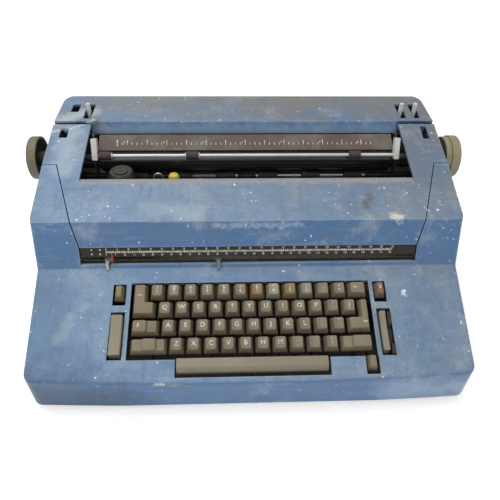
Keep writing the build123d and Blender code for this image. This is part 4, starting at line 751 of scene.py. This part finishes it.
# Retaining rings on the bail rod, sprung into grooves beside the left roller and on both
# sides of the middle one: plated wire that shows as a bright rim.
rod_y, rod_z, ring_radius, wire_radius = 69.0, 170.6, 3.1, 0.9
turns, tube = 32, 10


def close_mesh(name, shell):
    """A smooth mesh with its normals outwards, from a bmesh that is then freed."""
    bmesh.ops.recalc_face_normals(shell, faces=shell.faces)
    mesh = bpy.data.meshes.new(name)
    shell.to_mesh(mesh)
    shell.free()
    for face in mesh.polygons:
        face.use_smooth = True
    return mesh


for name, x in (("bail_ring_left", -173.5), ("bail_ring_inner", -79.0), ("bail_ring_outer", -62.0)):
    wire = bmesh.new()
    around = []
    for i in range(turns):
        a = 2 * math.pi * i / turns
        ring = []
        for j in range(tube):
            b = 2 * math.pi * j / tube
            along, out = wire_radius * math.sin(b), ring_radius + wire_radius * math.cos(b)
            at = Vector((x + along, rod_y + out * math.cos(a), rod_z + out * math.sin(a)))
            ring.append(wire.verts.new(at / 1000))
        around.append(ring)
    for i in range(turns):
        for j in range(tube):
            wire.faces.new((around[i][j], around[(i + 1) % turns][j],
                            around[(i + 1) % turns][(j + 1) % tube], around[i][(j + 1) % tube]))
    add_piece(name, close_mesh(name, wire), bail_plate, "paper_bail", "bright_steel")


# Frame side plates and carrier: zinc alloy die castings, left as cast. Their skin is a
# mottled grey with 2.4 mm pits, greasy dirt has filled it, and it keeps a half-metallic
# look all over.
alloy, tree, place, clouds, tone = mottled("zinc_die_casting", 50.0, "#2d2b27", "#68655e", 6.0, 0.65)
pits = put(tree, "TexVoronoi", {"Vector": place.outputs["Object"], "Scale": 420.0})
coat_with(tree, tone, [], (clouds, 0.74, 0.46), (pits, 0.16, 0.0003), Metallic=0.5)
finish_nodes(alloy, "frame_plates", "carrier", "element_rocker")


# Ribbon cartridge: a flat box of black polystyrene that clips on the carrier, with fine
# moulding grain and grey dust on its lid.
cartridge, tree, place, clouds, tone = mottled(
    "cartridge_polystyrene_black", 90.0, "#161615", "#161615", 6.0, 0.68)
top = by_slope(tree, place, 0.6, 0.95, 0.55)
top = put(tree, "Math", {0: top, 1: clouds}, "MULTIPLY")
coat_with(tree, tone, [(top, "#6b665c")], (clouds, 0.38, 0.7), (850.0, 0.1, 0.0002))
finish_nodes(cartridge, "ribbon_cartridge")


# Correction tape spools: acetal hubs, the supply one yellow, the take-up one clear-white
# and greyed. Acetal is waxy, so its gloss is soft and its colour deep.
acetals = {}
for node, finish_name, dark, light in (
    ("supply_tape_spool", "spool_acetal_yellow", "#b39a1d", "#e3cf4a"),
    ("takeup_tape_spool", "spool_acetal_natural", "#8c8a80", "#b9b6a9"),
):
    acetals[node], tree, place, clouds, tone = mottled(finish_name, 130.0, dark, light)
    coat_with(tree, tone, [], (clouds, 0.30, 0.5), (clouds, 0.08, 0.0002),
              Subsurface_Weight=0.08, Subsurface_Scale=0.002)
    finish_nodes(acetals[node], node)

# The supply spool's winding knob stands on its hub, moulded in one with it, with eight
# shallow finger flutes and a rounded crown
knob_x, knob_y, knob_foot, flutes, turns = -93.0, 37.0, 149.3, 8, 64
knob = bmesh.new()
rings = []
for radius, height in ((6.6, 0.0), (6.9, 1.0), (6.9, 9.5), (6.4, 12.2), (5.0, 14.0), (2.8, 14.7)):
    depth = 0.45 if radius > 6 else 0.15
    ring = []
    for i in range(turns):
        a = 2 * math.pi * i / turns
        out = radius - depth * (0.5 - 0.5 * math.cos(flutes * a))
        ring.append(knob.verts.new(Vector(
            (knob_x + out * math.cos(a), knob_y + out * math.sin(a), knob_foot + height)) / 1000))
    rings.append(ring)
for low, high in zip(rings, rings[1:]):
    for i in range(turns):
        knob.faces.new((low[i], low[(i + 1) % turns], high[(i + 1) % turns], high[i]))
knob.faces.new(rings[-1])
knob.faces.new(rings[0][::-1])
mesh = close_mesh("supply_spool_knob", knob)
mesh.set_sharp_from_angle(angle=math.radians(40))
add_piece("supply_spool_knob", mesh, acetals["supply_tape_spool"], "supply_spool", "spool_plastic")

# Tape guide: a hoop of spring wire, 2.4 mm thick, that stands on the carrier beside the
# supply spool
hoop = bpy.data.curves.new("tape_guide", "CURVE")
hoop.dimensions = "3D"
hoop.bevel_depth = 0.0012
hoop.bevel_resolution = 3
hoop.resolution_u = 8
hoop.use_fill_caps = True
bend = hoop.splines.new("NURBS")
route = ((-119, 38, 138.5), (-119, 38, 150), (-118.5, 38, 159), (-115.5, 38, 164),
         (-109.5, 38, 164.6), (-107, 38, 159), (-106.8, 38, 150), (-106.8, 38, 138.5))
bend.points.add(len(route) - 1)
for point, at in zip(bend.points, route):
    point.co = (*(v / 1000 for v in at), 1)
bend.order_u = 4
bend.use_endpoint_u = True
holder = bpy.data.objects.new("tape_guide", hoop)
mesh = bpy.data.meshes.new_from_object(holder)
bpy.data.objects.remove(holder)
add_piece("tape_guide", mesh, ground, "type_carrier", "bright_steel")


# Type element: a ball of nickel-plated plastic with four bands of raised type, dulled by
# ink. Twenty-two small lands stand round each band, which makes 88 characters.
nickel, tree, place, clouds, tone = mottled("element_nickel_inked", 190.0, "#24221f", "#5f5c56", grit=0.65)
coat_with(tree, tone, [], (clouds, 0.6, 0.34), (clouds, 0.1, 0.0002), Metallic=0.75)
finish_nodes(nickel, "type_element")


def grow(name, finish, sizes, make):
    """An object grown by Geometry Nodes: make(tree, sockets) returns what to realise."""
    kinds = {float: "Float", int: "Int", Vector: "Vector"}
    tree = bpy.data.node_groups.new(name, "GeometryNodeTree")
    tree.interface.new_socket("Geometry", in_out="OUTPUT", socket_type="NodeSocketGeometry")
    keys = {}
    for key, value in sizes.items():
        kind = f"NodeSocket{kinds[type(value)]}"
        keys[key] = tree.interface.new_socket(key, in_out="INPUT", socket_type=kind).identifier
    given = put(tree, "NodeGroupInput")
    real = put(tree, "GeometryNodeRealizeInstances", {0: make(tree, given.outputs)})
    done = put(tree, "GeometryNodeSetMaterial", {"Geometry": real, "Material": finish})
    put(tree, "NodeGroupOutput", {0: done})
    holder = new_object(name, bpy.data.meshes.new(name))
    grower = holder.modifiers.new("grown", "NODES")
    grower.node_group = tree
    for key, value in sizes.items():
        grower[keys[key]] = value
    return evaluated(holder)


def four_bands(tree, given):
    """Lands on four circles of the ball, one pitch apart in height."""
    joined = put(tree, "GeometryNodeJoinGeometry")
    land = put(tree, "GeometryNodeMeshCube", {"Size": given["Land"]})
    for band in (-1.5, -0.5, 0.5, 1.5):
        high = put(tree, "Math", {0: given["Pitch"], 1: band}, "MULTIPLY")
        ratio = put(tree, "Math", {0: high, 1: given["Ball radius"]}, "DIVIDE")
        slope = put(tree, "Math", {0: ratio}, "ARCSINE")
        wide = put(tree, "Math", {0: slope}, "COSINE")
        wide = put(tree, "Math", {0: wide, 1: given["Ball radius"]}, "MULTIPLY")
        circle = put(tree, "GeometryNodeMeshCircle", {"Vertices": given["Count"], "Radius": wide})
        lift = put(tree, "CombineXYZ", {"Z": high})
        lifted = put(tree, "GeometryNodeSetPosition", {"Geometry": circle, "Offset": lift})
        spots = put(tree, "GeometryNodeInputPosition")
        facing = put(tree, "FunctionNodeAlignRotationToVector", {"Vector": spots}, axis="X")
        laid = put(tree, "GeometryNodeInstanceOnPoints", {
            "Points": lifted, "Instance": land, "Rotation": facing})
        tree.links.new(laid.outputs[0], joined.inputs[0])
    return joined.outputs[0]


ball_middle = (-0.160, 0.046, 0.152)
sizes = {"Ball radius": 0.0174, "Land": Vector((0.0005, 0.0020, 0.0024)), "Count": 22, "Pitch": 0.0048}
mesh = grow("element_type_bands", nickel, sizes, four_bands)
mesh.transform(Matrix.Translation(ball_middle))
add_piece("element_type_bands", mesh, nickel, "element", "element_plate")


# Margin stops: zinc slides on the rack whose finger tabs hang below the scale, lacquered
# a pale grey-green that has rubbed through to dull metal, the right one more so.
lacquer, tree = new_finish("stop_lacquer_grey_green")
spot = put(tree, "TexCoord").outputs["Object"]
soft = put(tree, "TexNoise", {"Vector": spot, "Scale": 320.0, "Detail": 5.0, "Roughness": 0.65})
along = put(tree, "SeparateXYZ", {0: spot})
right = put(tree, "Math", {0: along.outputs["X"], 1: -0.1}, "GREATER_THAN")
tone = put(tree, "Mix", {"Factor": right, 6: "#b9c2ae", 7: "#878c8c"}, data_type="RGBA")
worn = put(tree, "MapRange", {"Value": soft, "From Min": 0.45, "From Max": 0.65})
coat_with(tree, tone, [(worn, "#565750")], (soft, 0.36, 0.6), None, Metallic=0.3)
finish_nodes(lacquer, "left_margin_stop", "right_margin_stop")


# Position pointer: a thin tongue of red acetate on the carrier, which shows through the
# slot where the next character will fall.
acetate, tree, place, clouds, tone = mottled("pointer_acetate_red", 220.0, "#6e1f22", "#a8383a", 4.0)
coat_with(tree, tone, [], (clouds, 0.22, 0.42), None)
finish_nodes(acetate, "position_pointer")


# Motor: a shaded-pole motor in black stove enamel, with the faint orange peel that such
# enamel has, in 4 mm waves, mottled with dark grey.
enamel, tree, place, clouds, tone = mottled(
    "motor_stove_enamel_black", 40.0, "#131413", "#3a3935", 6.0, 0.65)
peel = put(tree, "TexNoise", {"Vector": place.outputs["Object"], "Scale": 260.0, "Detail": 1.0})
coat_with(tree, tone, [], (clouds, 0.28, 0.6), (peel, 0.12, 0.0003))
finish_nodes(enamel, "motor")


# Belt, feet and gland: black neoprene rubber, dull and faintly ribbed. The belt is
# cord-backed, the feet are cones pushed up into the pan, and the gland sits in the rear wall.
neoprene, tree, place, clouds, tone = mottled("neoprene_black", 120.0, "#121211", "#2c2a27")
ribs = put(tree, "TexWave", {
    "Vector": place.outputs["Object"], "Scale": 190.0, "Distortion": 1.5, "Detail": 2.0})
coat_with(tree, tone, [], None, (ribs.outputs["Fac"], 0.12, 0.0003), Roughness=0.72)
finish_nodes(neoprene, "drive_belt", "rubber_feet", "cord_gland")


# Base pan and case screws: the pan is steel sheet, galvanised, with the large soft
# crystals of hot zinc, about 11 mm across; the screws are zinc-coated too.
galvanised, tree = new_finish("pan_galvanised_sheet")
spot = put(tree, "TexCoord").outputs["Object"]
spangle = put(tree, "TexVoronoi", {"Vector": spot, "Scale": 90.0})
soft = put(tree, "TexNoise", {"Vector": spot, "Scale": 30.0, "Detail": 6.0, "Roughness": 0.65})
bright = put(tree, "SeparateColor", {0: spangle.outputs["Color"]})
tone = put(tree, "Mix", {"Factor": bright, 6: "#716f6a", 7: "#908e87"}, data_type="RGBA")
coat_with(tree, tone, [(soft, "#4e4a43")], (bright, 0.42, 0.66), (spangle, 0.05, 0.0002), Metallic=0.7)
finish_nodes(galvanised, "base_pan", "case_screws")


# Paper table: the sheet behind the platen, finished in brown hammer enamel whose 2.6 mm
# dimples show as a fine mottle. Dust dulls it in patches.
table_enamel, tree, place, clouds, tone = mottled(
    "paper_table_brown_enamel", 26.0, "#48392f", "#6b5e54", 7.0, 0.68)
dimple = put(tree, "TexVoronoi", {"Vector": place.outputs["Object"], "Scale": 380.0})
haze = put(tree, "MapRange", {"Value": clouds, "From Min": 0.48, "From Max": 0.66, "To Max": 0.6})
coat_with(tree, tone, [(haze, "#77726b")], (clouds, 0.44, 0.72), (dimple, 0.08, 0.0002))
finish_nodes(table_enamel, "paper_table")


# Margin scale: an aluminium strip, brushed along and black anodised, behind the slot in
# the cover's front wall. It counts the same length in tenths of an inch above a middle line
# and in twelfths below it, engraved and filled with white, with a figure at every fifth place.
anodised, tree, place, clouds, tone = mottled(
    "strip_aluminium_black_anodised", 60.0, "#1c1a17", "#3a362f", 6.0)
drawn = put(tree, "Mapping", {"Vector": place.outputs["Object"], "Scale": (0.05, 1.0, 1.0)})
brushed = put(tree, "TexNoise", {"Vector": drawn, "Scale": 900.0, "Detail": 3.0})
coat_with(tree, tone, [], (brushed, 0.42, 0.64), (brushed, 0.05, 0.0001), Metallic=0.4)
finish_nodes(anodised, "margin_scale")
engraved = worn_fill("engraving_white_fill", 260.0, 0.40, 0.68, "#ece7dc", "#a59d8f", 0.6)


def row_of_marks(tree, given):
    """Marks at even gaps along X, all turned by the same tilt."""
    step = put(tree, "CombineXYZ", {"X": given["Gap"]})
    line = put(tree, "GeometryNodeMeshLine", {
        "Count": given["Count"], "Start Location": given["Start"], "Offset": step})
    mark = put(tree, "GeometryNodeMeshCube", {"Size": given["Mark size"]})
    turn = put(tree, "CombineXYZ", {"X": given["Tilt"]})
    laid = put(tree, "GeometryNodeInstanceOnPoints", {"Points": line, "Instance": mark, "Rotation": turn})
    return laid.outputs[0]


def ticks(name, start, gap, count, size, tilt):
    """A row of filled engraved marks on the case, all sizes in mm."""
    sizes = {"Start": start / 1000, "Gap": gap / 1000, "Count": count,
             "Mark size": Vector(size) / 1000, "Tilt": tilt}
    add_piece(name, grow(name, engraved, sizes, row_of_marks), engraved, "case", "ivory_plastic")


# The strip leans back with the wall: 23 mm in 52.5 mm of height. A place is a tenth of an
# inch, made 1.8% wider so that every mark lands where the photograph has it
lean = 23.0 / 52.5
lean_angle = math.atan(lean)
wall_y, wall_z, strip_z, strip_gap = -45.0, 154.5, 120.6, 1.2
scale_left, mark_pitch = -167.5, 2.586
twelfth = mark_pitch * 10 / 12
mark_thick, count_size, count_v = 0.1, 2.8, 3.7
dots_x, dots_v = (-184.0, -174.5), (2.9, -2.6)


def on_strip(u, v, x):
    """Lay a mark on the strip's leaning front face, v in mm up the face from its middle."""
    z = strip_z + v * math.cos(lean_angle)
    return Vector((x + u, wall_y + (z - wall_z) * lean + strip_gap - skin, z))


for name, x, v, gap, count, width, height in (
    ("margin_scale_line", scale_left + 65 * mark_pitch, 0.0, 1.0, 1, 130 * mark_pitch, 0.8),
    ("margin_scale_tenths", scale_left, 0.95, mark_pitch, 131, 0.6, 1.3),
    ("margin_scale_twelfths", scale_left, -0.95, twelfth, 157, 0.55, 1.3),
    ("margin_scale_fives_above", scale_left, 1.4, 5 * mark_pitch, 27, 0.75, 2.2),
    ("margin_scale_fives_below", scale_left, -1.4, 5 * twelfth, 32, 0.75, 2.2),
):
    ticks(name, on_strip(0, v, x), gap, count, (width, mark_thick, height), -lean_angle)

marks = [(*letters(str(n * 5), count_size), scale_left + n * 5 * mark_pitch, count_v) for n in range(27)]
marks += [(*letters(str(n * 5), count_size), scale_left + n * 5 * twelfth, -count_v) for n in range(32)]
dot = [(math.cos(a * math.pi / 6), math.sin(a * math.pi / 6)) for a in range(12)]
marks += [(dot, [list(range(12))], x, v) for x in dots_x for v in dots_v]
legend_piece("margin_scale_figures", "case", marks, on_strip, engraved, "ivory_plastic", None)


# Paper scale: inches and quarter inches on the front slope of the paper table, counted
# both ways from a zero near the middle of the platen, engraved and filled like the margin
# scale. The zero stands 2.3 mm to the left, where the photograph has it.
inch = 25.4
scale_zero, number_left, number_v, number_size = -2.3, -6.2, 11.6, 4.0
lip_y, lip_z, slope_run, slope_rise = 75, 175, 18, 10.5
table_up = Vector((0, slope_run, slope_rise)).normalized()
table_out = Vector((0, -slope_rise, slope_run)).normalized()
slope_angle = math.atan2(slope_rise, slope_run)


def on_table(u, v, x):
    """Lay a mark on the paper table's front slope, v in mm up from its lip."""
    return Vector((x + u, lip_y, lip_z)) + table_up * v + table_out * 0.05


for name, start, v, gap, count, width, height in (
    ("paper_scale_inches", scale_zero - 6 * inch, 11.0, inch, 13, 0.9, 7.0),
    ("paper_scale_quarters", scale_zero - 6.5 * inch, 9.2, inch / 4, 53, 0.75, 3.2),
    ("paper_scale_end", scale_zero - 6.5 * inch, 10.6, inch / 4, 1, 1.3, 8.6),
):
    ticks(name, on_table(0, v, start), gap, count, (width, height, mark_thick), slope_angle)
marks = [(*letters(str(abs(n)), number_size), n * inch + number_left, number_v) for n in range(-6, 7, 2)]
legend_piece("paper_scale_figures", "case", marks, on_table, engraved, "ivory_plastic", None)
